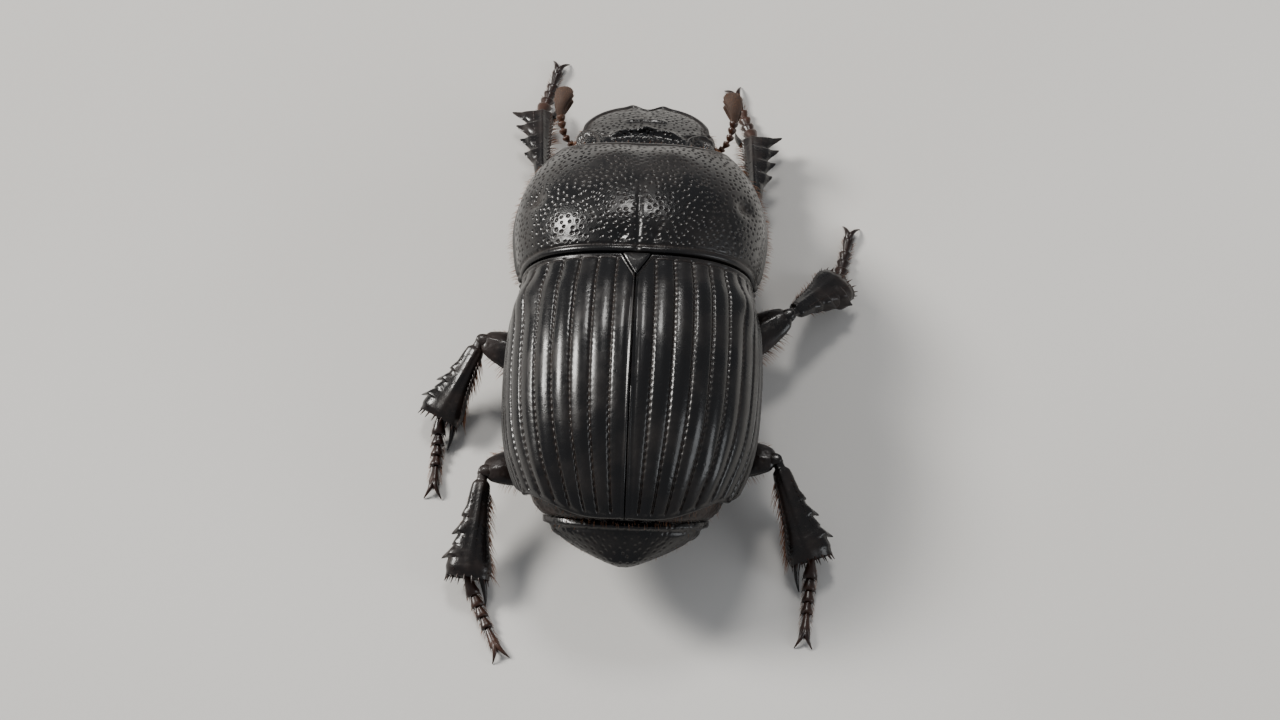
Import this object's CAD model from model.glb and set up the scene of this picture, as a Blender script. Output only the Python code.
"""Looks of a life-size dung beetle, a long-bodied black tunneller that stands in mid stride.

Every plate, limb and feeler is a closed mesh that follows the body's own driving curves. They are in
millimetres, counted from the middle of the seam between the pronotum and the wing cases, and BodyPlan
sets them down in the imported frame. Geometry Nodes cut the pits and the grooves, set out lenses, foot
segments and spines, and grow the bristles. The beetle heads towards -Y, and its left side is at +X.
"""

import functools
import logging
import math
from collections.abc import Iterable, Mapping, Sequence
from dataclasses import dataclass, field, replace
from enum import Enum

import bmesh
import bpy
import numpy as np
from mathutils import Matrix, Vector


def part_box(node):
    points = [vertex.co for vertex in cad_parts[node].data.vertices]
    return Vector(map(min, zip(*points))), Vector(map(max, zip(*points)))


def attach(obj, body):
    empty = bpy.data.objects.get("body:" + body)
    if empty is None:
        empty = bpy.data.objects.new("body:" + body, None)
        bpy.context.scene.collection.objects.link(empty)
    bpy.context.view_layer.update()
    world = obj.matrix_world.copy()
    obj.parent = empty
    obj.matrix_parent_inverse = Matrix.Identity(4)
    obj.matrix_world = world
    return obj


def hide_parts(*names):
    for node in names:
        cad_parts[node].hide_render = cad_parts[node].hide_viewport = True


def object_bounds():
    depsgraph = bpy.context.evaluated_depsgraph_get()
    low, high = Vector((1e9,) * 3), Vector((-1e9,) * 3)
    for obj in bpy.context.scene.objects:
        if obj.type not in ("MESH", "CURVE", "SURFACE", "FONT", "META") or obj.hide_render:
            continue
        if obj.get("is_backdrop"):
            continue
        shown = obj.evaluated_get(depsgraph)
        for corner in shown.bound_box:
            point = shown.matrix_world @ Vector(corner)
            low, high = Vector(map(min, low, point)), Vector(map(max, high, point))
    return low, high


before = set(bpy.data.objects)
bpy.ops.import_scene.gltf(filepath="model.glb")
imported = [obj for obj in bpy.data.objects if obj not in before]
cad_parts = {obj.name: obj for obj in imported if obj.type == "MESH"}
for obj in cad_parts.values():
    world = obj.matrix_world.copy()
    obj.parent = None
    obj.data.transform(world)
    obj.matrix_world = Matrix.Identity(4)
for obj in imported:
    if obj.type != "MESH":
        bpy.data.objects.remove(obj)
CAD_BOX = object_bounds()

Array = np.ndarray
Colour = tuple[float, float, float]
Place = tuple[float, float, float]
Stops = tuple[tuple[float, float], ...]
Piece = bpy.types.Object

MM = 0.001
BODY = "root"
TUFT_PATCH = 0.003
SIDES = {1: "left", -1: "right"}
UP = np.array([0.0, 0.0, 1.0])
LOG = logging.getLogger("dung_beetle")


class Slot(Enum):
    """The record's material slots."""

    SHELL = "shell"
    UNDERSIDE = "underside"
    LEG = "leg"
    FOOT = "foot"
    EYE = "eye"
    FEELER = "feeler"


class Pair(Enum):
    """The three pairs of legs."""

    FORE = "fore"
    MIDDLE = "middle"
    HIND = "hind"


# Node trees


class Wire:
    """A node's output that takes part in Python sums. Each sum adds a Math node to its tree."""

    def __init__(self, bench: "Bench", socket: bpy.types.NodeSocket) -> None:
        """Keeps an output socket and the bench that it was made on."""
        self.bench = bench
        self.socket = socket

    def __add__(self, other: "Wire | float") -> "Wire":
        """This value plus another."""
        return self.bench.maths("ADD", self, other)

    __radd__ = __add__

    def __sub__(self, other: "Wire | float") -> "Wire":
        """This value less another."""
        return self.bench.maths("SUBTRACT", self, other)

    def __rsub__(self, other: float) -> "Wire":
        """A number less this value."""
        return self.bench.maths("SUBTRACT", other, self)

    def __mul__(self, other: "Wire | float") -> "Wire":
        """This value times another."""
        return self.bench.maths("MULTIPLY", self, other)

    __rmul__ = __mul__

    def __truediv__(self, other: "Wire | float") -> "Wire":
        """This value over another."""
        return self.bench.maths("DIVIDE", self, other)

    def __rtruediv__(self, other: float) -> "Wire":
        """A number over this value."""
        return self.bench.maths("DIVIDE", other, self)

    def __mod__(self, other: "Wire | float") -> "Wire":
        """What is left of this value over a step, never below zero."""
        return self.bench.maths("FLOORED_MODULO", self, other)

    def most(self, other: "Wire | float") -> "Wire":
        """The larger of this value and another."""
        return self.bench.maths("MAXIMUM", self, other)

    def least(self, other: "Wire | float") -> "Wire":
        """The smaller of this value and another."""
        return self.bench.maths("MINIMUM", self, other)

    def hump(self, width: "Wire | float") -> "Wire":
        """A bell that is 1 where this value is 0 and has faded by a width from there."""
        share = self / width
        return self.bench.maths("EXPONENT", share * share * -1.0)

    def eased(self, low: float, high: float) -> "Wire":
        """A smooth step from 0 at the low value to 1 at the high one."""
        limits = {"Value": self, "From Min": low, "From Max": high}
        return self.bench.add("ShaderNodeMapRange", {"interpolation_type": "SMOOTHSTEP"}, limits)

    def also(self, name: str) -> "Wire":
        """Another output of the same node."""
        return Wire(self.bench, Bench.socket(self.socket.node.outputs, name))


class Bench:
    """A workbench for one node tree."""

    def __init__(self, tree: bpy.types.NodeTree) -> None:
        """Keeps the tree that nodes are added to."""
        self.tree = tree

    @staticmethod
    def socket(sockets: bpy.types.bpy_prop_collection, key: str | int) -> bpy.types.NodeSocket:
        """The socket of that number, or the one in use of that name."""
        named = (socket for socket in sockets if socket.name == key and socket.enabled)
        return sockets[key] if isinstance(key, int) else next(named)

    def add(
        self, kind: str, settings: Mapping[str, object] | None = None,
        inputs: Mapping[str | int, object] | None = None, output: str | int = 0,
    ) -> Wire:
        """Adds a node.

        Args:
            kind: The node's type.
            settings: What is set on the node first.
            inputs: A value or a wire for each socket, by its name or number.
            output: The output to go on with.

        Returns:
            That output.
        """
        node = self.tree.nodes.new(kind)
        for name, value in (settings or {}).items():
            setattr(node, name, value)
        for key, value in (inputs or {}).items():
            socket = self.socket(node.inputs, key)
            if isinstance(value, Wire):
                self.tree.links.new(value.socket, socket)
            elif socket.type == "RGBA":
                socket.default_value = (*value, 1.0)
            else:
                socket.default_value = value
        outputs = [socket for socket in node.outputs if socket.enabled]
        if not outputs:
            return Wire(self, None)
        return Wire(self, outputs[0] if output == 0 else self.socket(node.outputs, output))

    def maths(self, operation: str, *terms: Wire | float) -> Wire:
        """Works out a sum on numbers."""
        return self.add("ShaderNodeMath", {"operation": operation}, dict(enumerate(terms)))

    def vector(self, operation: str, *terms: Wire | Place) -> Wire:
        """Works out a sum on vectors."""
        return self.add("ShaderNodeVectorMath", {"operation": operation}, dict(enumerate(terms)))

    def scaled(self, direction: Wire, size: Wire | float) -> Wire:
        """A vector times a number."""
        inputs = {"Vector": direction, "Scale": size}
        return self.add("ShaderNodeVectorMath", {"operation": "SCALE"}, inputs)

    def noise(self, place: Wire, grain: float, detail: float = 2.0, roughness: float = 0.5) -> Wire:
        """Soft noise round 0.5, in blotches of the grain's size in millimetres."""
        inputs = {"Vector": place, "Scale": 1 / (grain * MM), "Detail": detail, "Roughness": roughness}
        return self.add("ShaderNodeTexNoise", None, inputs)

    def blend(self, share: Wire | float, first: Wire | Colour, second: Wire | Colour) -> Wire:
        """A colour between two others."""
        inputs = {"Factor": share, "A": first, "B": second}
        return self.add("ShaderNodeMix", {"data_type": "RGBA"}, inputs, "Result")


# Finishes


class Paint(Bench):
    """The bench of one material."""

    def __init__(self, name: str) -> None:
        """Makes an empty material.

        Args:
            name: The material's name.
        """
        self.material = bpy.data.materials.new(name)
        self.material.use_nodes = True
        self.material.node_tree.nodes.clear()
        super().__init__(self.material.node_tree)

    def place(self) -> Wire:
        """Each point's own place in metres."""
        return self.add("ShaderNodeTexCoord", None, None, "Object")

    def mark(self, name: str) -> Wire:
        """A number kept at the mesh's points."""
        return self.add("ShaderNodeAttribute", {"attribute_name": name}, None, "Fac")

    def relief(self, height: Wire, depth: float) -> Wire:
        """A normal made from a height, where a height of 1 stands for the depth in millimetres."""
        return self.add("ShaderNodeBump", None, {"Distance": depth * MM, "Height": height}, "Normal")

    def finish(self, shader: Mapping[str, object]) -> bpy.types.Material:
        """Feeds the surface.

        Args:
            shader: Values or wires for the sockets of a Principled shader.

        Returns:
            The finished material.
        """
        colour = shader["Base Color"]
        if not isinstance(colour, Wire):
            self.material.diffuse_color = (*colour, 1.0)
        surface = self.add("ShaderNodeBsdfPrincipled", None, shader, "BSDF")
        self.add("ShaderNodeOutputMaterial", None, {"Surface": surface})
        return self.material


@dataclass(frozen=True)
class Chitin:
    """Hard dark cuticle: fine cells under a gloss, duller blotches, and dust in its hollows."""

    name: str
    deep: Colour = (0.0032, 0.003, 0.0034)
    bloom: Colour = (0.0085, 0.0065, 0.006)
    dust: Colour = (0.060, 0.034, 0.021)
    dusty: float = 0.3
    polished: float = 0.19
    dull: float = 0.35
    coat: float = 0.22
    specular: float = 0.32
    blotch_size: float = 2.6
    speck_size: float = 0.16
    cell: float = 0.07
    depth: float = 0.005
    dot: float = 0.42
    dot_depth: float = 0.007

    def made(self) -> bpy.types.Material:
        """Builds the material.

        Returns:
            The material.
        """
        paint = Paint(self.name)
        place = paint.place()
        blotch = paint.noise(place, self.blotch_size, 4.0, 0.55)
        speck = paint.noise(place, self.speck_size, 4.0, 0.65)
        hollow = paint.mark("hollow")
        cells = paint.add("ShaderNodeTexVoronoi", None, {"Vector": place, "Scale": 1 / (self.cell * MM)})
        settled = (hollow * speck.eased(0.3, 0.6)).most(
            blotch.eased(0.56, 0.72) * speck.eased(0.5, 0.72) * 0.35
        )
        colour = paint.blend(blotch.eased(0.4, 0.68), self.deep, self.bloom)
        colour = paint.blend(settled * self.dusty, colour, self.dust)
        roughness = self.polished + (self.dull - self.polished) * blotch.eased(0.42, 0.66)
        roughness = roughness + speck * 0.1 + settled * 0.3
        spots = paint.add("ShaderNodeTexVoronoi", None, {"Vector": place, "Scale": 1 / (self.dot * MM)})
        dots = spots.eased(0.0, 0.24) * (self.dot_depth / self.depth)
        return paint.finish({
            "Base Color": colour,
            "Roughness": roughness,
            "IOR": 1.56,
            "Specular IOR Level": self.specular,
            "Coat Weight": self.coat,
            "Coat Roughness": 0.08,
            "Normal": paint.relief(cells * 0.55 + speck * 0.9 + dots, self.depth),
        })


@dataclass(frozen=True)
class Velvet:
    """The matt, fine-haired cuticle of the feelers' clubs."""

    name: str
    deep: Colour = (0.022, 0.010, 0.006)
    pile: Colour = (0.085, 0.043, 0.024)

    def made(self) -> bpy.types.Material:
        """Builds the material.

        Returns:
            The material.
        """
        paint = Paint(self.name)
        place = paint.place()
        nap = paint.noise(place, 0.05, 3.0, 0.7)
        patch = paint.noise(place, 0.5, 2.0)
        return paint.finish({
            "Base Color": paint.blend(nap * 0.6 + patch * 0.4, self.deep, self.pile),
            "Roughness": 0.6 + nap * 0.3,
            "Sheen Weight": 0.1,
            "Normal": paint.relief(nap, 0.012),
        })


@dataclass(frozen=True)
class Lens:
    """The dark glassy cuticle over the eyes."""

    name: str
    deep: Colour = (0.004, 0.003, 0.003)
    glow: Colour = (0.020, 0.009, 0.005)

    def made(self) -> bpy.types.Material:
        """Builds the material.

        Returns:
            The material.
        """
        paint = Paint(self.name)
        place = paint.place()
        patch = paint.noise(place, 0.45, 2.0)
        film = paint.noise(place, 0.05, 2.0)
        return paint.finish({
            "Base Color": paint.blend(patch.eased(0.35, 0.7), self.deep, self.glow),
            "Roughness": 0.05 + film * 0.08,
            "IOR": 1.5,
            "Coat Weight": 1.0,
            "Coat Roughness": 0.03,
            "Normal": paint.relief(film, 0.002),
        })


@dataclass(frozen=True)
class Hair:
    """Bristles: dark at the root, rusty red along the shaft and paler at the tip."""

    name: str
    root: Colour = (0.035, 0.012, 0.006)
    shaft: Colour = (0.20, 0.070, 0.022)
    tip: Colour = (0.36, 0.17, 0.065)

    def made(self) -> bpy.types.Material:
        """Builds the material.

        Returns:
            The material.
        """
        paint = Paint(self.name)
        along_hair = paint.mark("along_hair")
        lock = paint.noise(paint.place(), 0.9, 2.0)
        colour = paint.blend(along_hair.eased(0.0, 0.5), self.root, self.shaft)
        colour = paint.blend(along_hair.eased(0.45, 1.0) * lock.eased(0.3, 0.65), colour, self.tip)
        return paint.finish({
            "Base Color": colour,
            "Roughness": 0.34 + lock * 0.2,
            "IOR": 1.55,
        })


@dataclass(frozen=True)
class Floor:
    """Plain pale studio board with a faint tooth."""

    name: str
    pale: Colour = (0.70, 0.685, 0.66)
    warm: Colour = (0.66, 0.64, 0.61)

    def made(self) -> bpy.types.Material:
        """Builds the material.

        Returns:
            The material.
        """
        paint = Paint(self.name)
        place = paint.place()
        cloud = paint.noise(place, 60.0, 3.0)
        tooth = paint.noise(place, 0.5, 3.0, 0.6)
        return paint.finish({
            "Base Color": paint.blend(cloud.eased(0.35, 0.65), self.pale, self.warm),
            "Roughness": 0.62 + tooth * 0.2,
            "Normal": paint.relief(tooth, 0.01),
        })


Finish = Chitin | Velvet | Lens | Hair | Floor
SHELL = Chitin("polished_black_shell")
BENEATH = Chitin(
    "brown_black_underside", deep=(0.006, 0.0045, 0.004), bloom=(0.020, 0.011, 0.008),
    polished=0.26, dull=0.45, coat=0.12, cell=0.1, depth=0.010,
)
LIMB = Chitin(
    "black_limb", deep=(0.0045, 0.0035, 0.0034), bloom=(0.015, 0.008, 0.006),
    dusty=0.4, polished=0.2, dull=0.38, coat=0.2, cell=0.09, depth=0.007,
)
FOOT = Chitin(
    "red_brown_foot", deep=(0.014, 0.006, 0.0045), bloom=(0.050, 0.019, 0.010),
    dusty=0.4, polished=0.24, dull=0.42, coat=0.15, cell=0.06, depth=0.005, dot_depth=0.004,
)
STALK = Chitin(
    "red_brown_feeler", deep=(0.035, 0.013, 0.007), bloom=(0.085, 0.034, 0.016),
    dusty=0.2, polished=0.22, dull=0.36, coat=0.2, cell=0.05, depth=0.004, dot_depth=0.002,
)
CLUB = Velvet("velvety_club")
EYE = Lens("glassy_eye")
BRISTLE = Hair("rusty_bristle")


@functools.cache
def material_of(finish: Finish) -> bpy.types.Material:
    """The one material that stands for a finish."""
    return finish.made()


# Numbers and forms


def mix(first: Array | float, last: Array | float, share: Array | float) -> Array | float:
    """A value between two others."""
    return first + (last - first) * share


def step(value: Array | float, low: float, high: float) -> Array:
    """A smooth step from 0 at the low value to 1 at the high one."""
    share = np.clip((np.asarray(value, float) - low) / (high - low), 0, 1)
    return share * share * (3 - 2 * share)


def window(value: Array | float, low: float, first: float, last: float, high: float) -> Array:
    """1 between the two inner values, easing to 0 at the outer ones."""
    return step(value, low, first) * (1 - step(value, last, high))


def bell(value: Array | float, width: float) -> Array:
    """A bell that is 1 at 0 and has faded by a width from there."""
    return np.exp(-((np.asarray(value, float) / width) ** 2))


def signed_power(value: Array, power: float) -> Array:
    """A value's size to a power, with its sign kept."""
    return np.sign(value) * np.abs(value) ** power


def unit(vectors: Array) -> Array:
    """The same directions at length 1."""
    return vectors / np.maximum(np.linalg.norm(vectors, axis=-1, keepdims=True), 1e-12)


def turns(count: int, first: float = 0.0) -> Array:
    """Angles spaced evenly once round."""
    return first + np.linspace(0, 2 * math.pi, count, endpoint=False)


def mirrored(points: Array | Place, side: int) -> Array:
    """Points given for the left, on the left with side 1 or over on the right with -1."""
    return np.array(points) * (side, 1, 1)


def rounded_edge(inward: Array, radius: float) -> Array:
    """How far a rounded edge drops at a distance in from it."""
    short = np.clip(radius - inward, 0, radius)
    return radius - np.sqrt(np.maximum(radius**2 - short**2, 0))


@dataclass(frozen=True)
class Ridge:
    """A rounded ridge along a line, or a furrow where its height is below 0."""

    height: float
    width: float
    place: float = 0.0

    def share(self, off: Array) -> Array:
        """1 along its line, fading to both sides."""
        return bell(off - self.place, self.width)

    def rise(self, off: Array) -> Array:
        """Its height at each distance."""
        return self.height * self.share(off)


@dataclass(frozen=True)
class Mound:
    """A soft mound on a plate, or a dent where its height is below 0."""

    height: float
    across: float
    along: float
    reach: float
    squeeze: tuple[float, float] = (1.0, 1.0)

    def share(self, x: Array, y: Array) -> Array:
        """1 in its middle, fading all round."""
        wide, deep = self.squeeze
        return bell(np.hypot((x - self.across) * wide, (y - self.along) * deep), self.reach)

    def rise(self, x: Array, y: Array) -> Array:
        """Its height at each place."""
        return self.height * self.share(x, y)


@dataclass(frozen=True)
class Curve:
    """A smooth driving curve through (place, size) stops, level beyond both ends."""

    stops: Stops
    ease: float = 0.5

    def _drawn(self, place: Array) -> Array:
        """The curve before its bends are eased.

        Args:
            place: Where it is read.

        Returns:
            Its sizes there.
        """
        places, sizes = np.array(self.stops, float).T
        number = np.arange(len(places))
        after, before = np.minimum(number + 1, number[-1]), np.maximum(number - 1, 0)
        slopes = (sizes[after] - sizes[before]) / (places[after] - places[before])
        held = np.clip(place, places[0], places[-1])
        last = np.clip(np.searchsorted(places, held, "right"), 1, len(places) - 1)
        span = places[last] - places[last - 1]
        t = (held - places[last - 1]) / span
        bends = slopes[last - 1] * t * (1 - t) ** 2 + slopes[last] * t * t * (t - 1)
        return (
            sizes[last - 1] * (1 + 2 * t) * (1 - t) ** 2 + sizes[last] * t * t * (3 - 2 * t) + span * bends
        )

    def __call__(self, place: Array | float) -> Array:
        """The curve's size at each place."""
        shares = {-1.0: 1, -0.5: 4, 0.0: 6, 0.5: 4, 1.0: 1}
        return sum(self._drawn(place + self.ease * off) * part for off, part in shares.items()) / 16


@dataclass
class Form:
    """Points in millimetres, the faces between them, and numbers kept at each point."""

    points: Array
    faces: list[Sequence[int]] = field(default_factory=list)
    marks: dict[str, Array] = field(default_factory=dict)

    @classmethod
    def lofted(cls, rings: Array, marks: Mapping[str, Array] | None = None) -> "Form":
        """Joins closed rings into a form with a point at each end.

        Args:
            rings: Points by ring and by place round it.
            marks: Numbers in the same order.

        Returns:
            The form.
        """
        count, sides, _ = rings.shape
        index = np.arange(count * sides).reshape(count, sides)
        first, second = index[:-1], index[1:]
        around = [first, np.roll(first, -1, 1), np.roll(second, -1, 1), second]
        faces = np.stack(around, -1).reshape(-1, 4).tolist()
        start, end = count * sides, count * sides + 1
        for n in range(sides):
            m = (n + 1) % sides
            faces.append([start, int(index[0, m]), int(index[0, n])])
            faces.append([end, int(index[-1, n]), int(index[-1, m])])
        points = np.vstack([rings.reshape(-1, 3), rings[0].mean(0), rings[-1].mean(0)])
        kept = {
            name: np.concatenate([values.reshape(-1), [values[0].mean(), values[-1].mean()]])
            for name, values in (marks or {}).items()
        }
        return cls(points, faces, kept)

    @classmethod
    def taken(cls, bm: bmesh.types.BMesh) -> "Form":
        """Takes a form out of a work mesh.

        Args:
            bm: The work mesh, which is freed.

        Returns:
            The form.
        """
        bm.verts.index_update()
        form = cls(np.array([vert.co for vert in bm.verts]))
        form.faces = [[vert.index for vert in face.verts] for face in bm.faces]
        bm.free()
        return form

    @classmethod
    def shell(cls, grid: Array, thickness: float, coarse: int, marks: Mapping[str, Array]) -> "Form":
        """Gives a fine outer sheet a plain inner wall and closes the rim between them.

        Args:
            grid: The outer sheet's points by row and column.
            thickness: The wall's thickness in millimetres.
            coarse: How many outer steps one inner step spans.
            marks: Numbers at the outer points. The inner ones get 0.

        Returns:
            The closed form.
        """
        rows, columns = grid.shape[:2]
        outer = np.arange(rows * columns).reshape(rows, columns)
        inner_points = (grid - normals_of(grid) * thickness)[::coarse, ::coarse]
        inner = rows * columns + np.arange(inner_points[..., 0].size).reshape(inner_points.shape[:2])
        faces = quads(outer) + [face[::-1] for face in quads(inner)]
        edges = [
            (outer[0], inner[0]), (outer[::-1, 0], inner[::-1, 0]),
            (outer[-1, ::-1], inner[-1, ::-1]), (outer[:, -1], inner[:, -1]),
        ]
        half = coarse // 2
        for fine, plain in edges:
            for n in range(len(plain) - 1):
                run = fine[n * coarse:(n + 1) * coarse + 1]
                faces += [[plain[n], run[k + 1], run[k]] for k in range(half)]
                faces.append([plain[n], plain[n + 1], run[half]])
                faces += [[plain[n + 1], run[k + 1], run[k]] for k in range(half, coarse)]
        points = np.vstack([grid.reshape(-1, 3), inner_points.reshape(-1, 3)])
        padding = np.zeros(inner.size)
        kept = {name: np.concatenate([v.reshape(-1), padding]) for name, v in marks.items()}
        return cls(points, faces, kept)

    @classmethod
    def spun(cls, profile: Stops, sides: int) -> "Form":
        """A round form about Z from its (height, radius) stops."""
        ring = np.stack([np.cos(turns(sides)), np.sin(turns(sides)), np.zeros(sides)], -1)
        return cls.lofted(np.array([ring * radius + UP * height for height, radius in profile]))

    @classmethod
    def ball(cls, place: Place, radii: Place, sides: int = 32, turn: Array | None = None) -> "Form":
        """A rounded mound.

        Args:
            place: Its centre.
            radii: Its half sizes.
            sides: How many sides it has round its middle.
            turn: The three directions that its half sizes lie in, as columns.

        Returns:
            The form.
        """
        rises = np.linspace(-math.pi / 2, math.pi / 2, sides // 2 + 1)[1:-1]
        form = cls.spun(tuple((math.sin(rise), math.cos(rise)) for rise in rises), sides)
        form.points[-2:] = [-UP, UP]
        turn = np.eye(3) if turn is None else turn
        form.points = form.points * radii @ turn.T + place
        return form

    @classmethod
    def horn(cls, base: Array, tip: Array, radius: float, bend: Array | Place, sides: int = 10) -> "Form":
        """A curved spike with a blunt point.

        Args:
            base: The middle of its root.
            tip: Its point.
            radius: Its radius at the root.
            bend: How far its middle is pushed aside.
            sides: How many sides it has.

        Returns:
            The form.
        """
        t = np.linspace(0, 1, 9)[:, None]
        line = mix(base, tip, t) + np.array(bend) * (4 * t * (1 - t))
        return tube(line, radius * (1 - 0.86 * t[:, 0] ** 1.4), sides)

    def marked(self, name: str, value: float = 1.0) -> "Form":
        """The same form with one number kept at every point."""
        self.marks[name] = np.full(len(self.points), value)
        return self

    def piece(self, name: str, finish: Finish) -> Piece:
        """Sets the form down in the frame as an object.

        Args:
            name: The object's name.
            finish: Its finish.

        Returns:
            The object, smooth shaded, with its faces outwards.
        """
        mesh = bpy.data.meshes.new(name)
        mesh.from_pydata((self.points * MM + SHIFT).tolist(), [], self.faces)
        for mark, values in self.marks.items():
            kind, field_name = ("FLOAT_VECTOR", "vector") if values.ndim == 2 else ("FLOAT", "value")
            mesh.attributes.new(mark, kind, "POINT").data.foreach_set(field_name, values.reshape(-1))
        bm = bmesh.new()
        bm.from_mesh(mesh)
        bmesh.ops.recalc_face_normals(bm, faces=bm.faces)
        bm.to_mesh(mesh)
        bm.free()
        mesh.materials.append(material_of(finish))
        mesh.shade_smooth()
        mesh.set_sharp_from_angle(angle=math.radians(55))
        piece = bpy.data.objects.new(name, mesh)
        bpy.context.scene.collection.objects.link(piece)
        return piece


def joined(forms: Iterable[Form]) -> Form:
    """Puts several forms into one.

    Args:
        forms: The forms.

    Returns:
        One form. A number that a form doesn't keep is 0 there.
    """
    forms = list(forms)
    shapes = {name: form.marks[name].shape[1:] for form in forms for name in form.marks}
    faces: list[Sequence[int]] = []
    count = 0
    for form in forms:
        faces += [[corner + count for corner in face] for face in form.faces]
        count += len(form.points)
    marks = {
        name: np.concatenate([form.marks.get(name, np.zeros((len(form.points), *shape))) for form in forms])
        for name, shape in shapes.items()
    }
    return Form(np.vstack([form.points for form in forms]), faces, marks)


def guide(points: Array, facing: Array, size: Array | float, faces: Sequence = ()) -> Form:
    """Points that a template is set out on.

    Args:
        points: Where the copies stand.
        facing: Which way each one's Z points.
        size: Each one's scale, in millimetres for one unit.
        faces: Faces between the points, where the guide is a shape of its own.

    Returns:
        The form that keeps them.
    """
    return Form(points, list(faces), {
        "facing": unit(facing),
        "upward": np.tile(UP, (len(points), 1)),
        "size": np.broadcast_to(size, points.shape) * MM,
    })


def quads(index: Array) -> list[list[int]]:
    """The four-cornered faces of a grid of point numbers."""
    corners = [index[:-1, :-1], index[1:, :-1], index[1:, 1:], index[:-1, 1:]]
    return np.stack(corners, -1).reshape(-1, 4).tolist()


def normals_of(grid: Array) -> Array:
    """The outward normals of a sheet that has its highest point facing up."""
    normals = unit(np.cross(np.gradient(grid, axis=0), np.gradient(grid, axis=1)))
    return normals if normals.reshape(-1, 3)[grid[..., 2].argmax(), 2] > 0 else -normals


def tube(line: Array, radii: Array, sides: int) -> Form:
    """A tube along a line.

    Args:
        line: The points of its middle.
        radii: Its radius at each.
        sides: How many sides it has.

    Returns:
        The form.
    """
    way = unit(np.gradient(line, axis=0))
    across = unit(np.cross(way, np.where(np.abs(way[:, 2:]) > 0.95, [[1.0, 0, 0]], UP)))
    upper = np.cross(across, way)
    turn = turns(sides)[None, :, None]
    spokes = across[:, None] * np.cos(turn) + upper[:, None] * np.sin(turn)
    return Form.lofted(line[:, None] + spokes * radii[:, None, None])


def routed(stops: Iterable[Place], count: int) -> Array:
    """Points along a smooth route.

    Args:
        stops: What it passes through.
        count: How many points it gets, evenly spaced.

    Returns:
        The points.
    """
    stops = np.array(stops, float)
    runs = np.concatenate([[0], np.cumsum(np.linalg.norm(np.diff(stops, axis=0), axis=1))])
    at, ease = np.linspace(0, runs[-1], count), runs[-1] * 0.06
    return np.stack([Curve(tuple(zip(runs, column)), ease)(at) for column in stops.T], -1)


def template(name: str, form: Form) -> Piece:
    """A form of unit size, one metre for one, that a tree sets out copies of."""
    form.points = (form.points - SHIFT) / MM
    return form.piece(name, LIMB)


# Geometry Nodes


def settle(piece: Piece) -> None:
    """Makes a piece a plain mesh, with its modifiers worked in and taken off.

    Args:
        piece: The piece.
    """
    bpy.context.view_layer.update()
    graph = bpy.context.evaluated_depsgraph_get()
    plain = bpy.data.meshes.new_from_object(
        piece.evaluated_get(graph), preserve_all_data_layers=True, depsgraph=graph
    )
    before = piece.data
    piece.modifiers.clear()
    piece.data = plain
    bpy.data.meshes.remove(before)
    plain.name = piece.name


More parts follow.
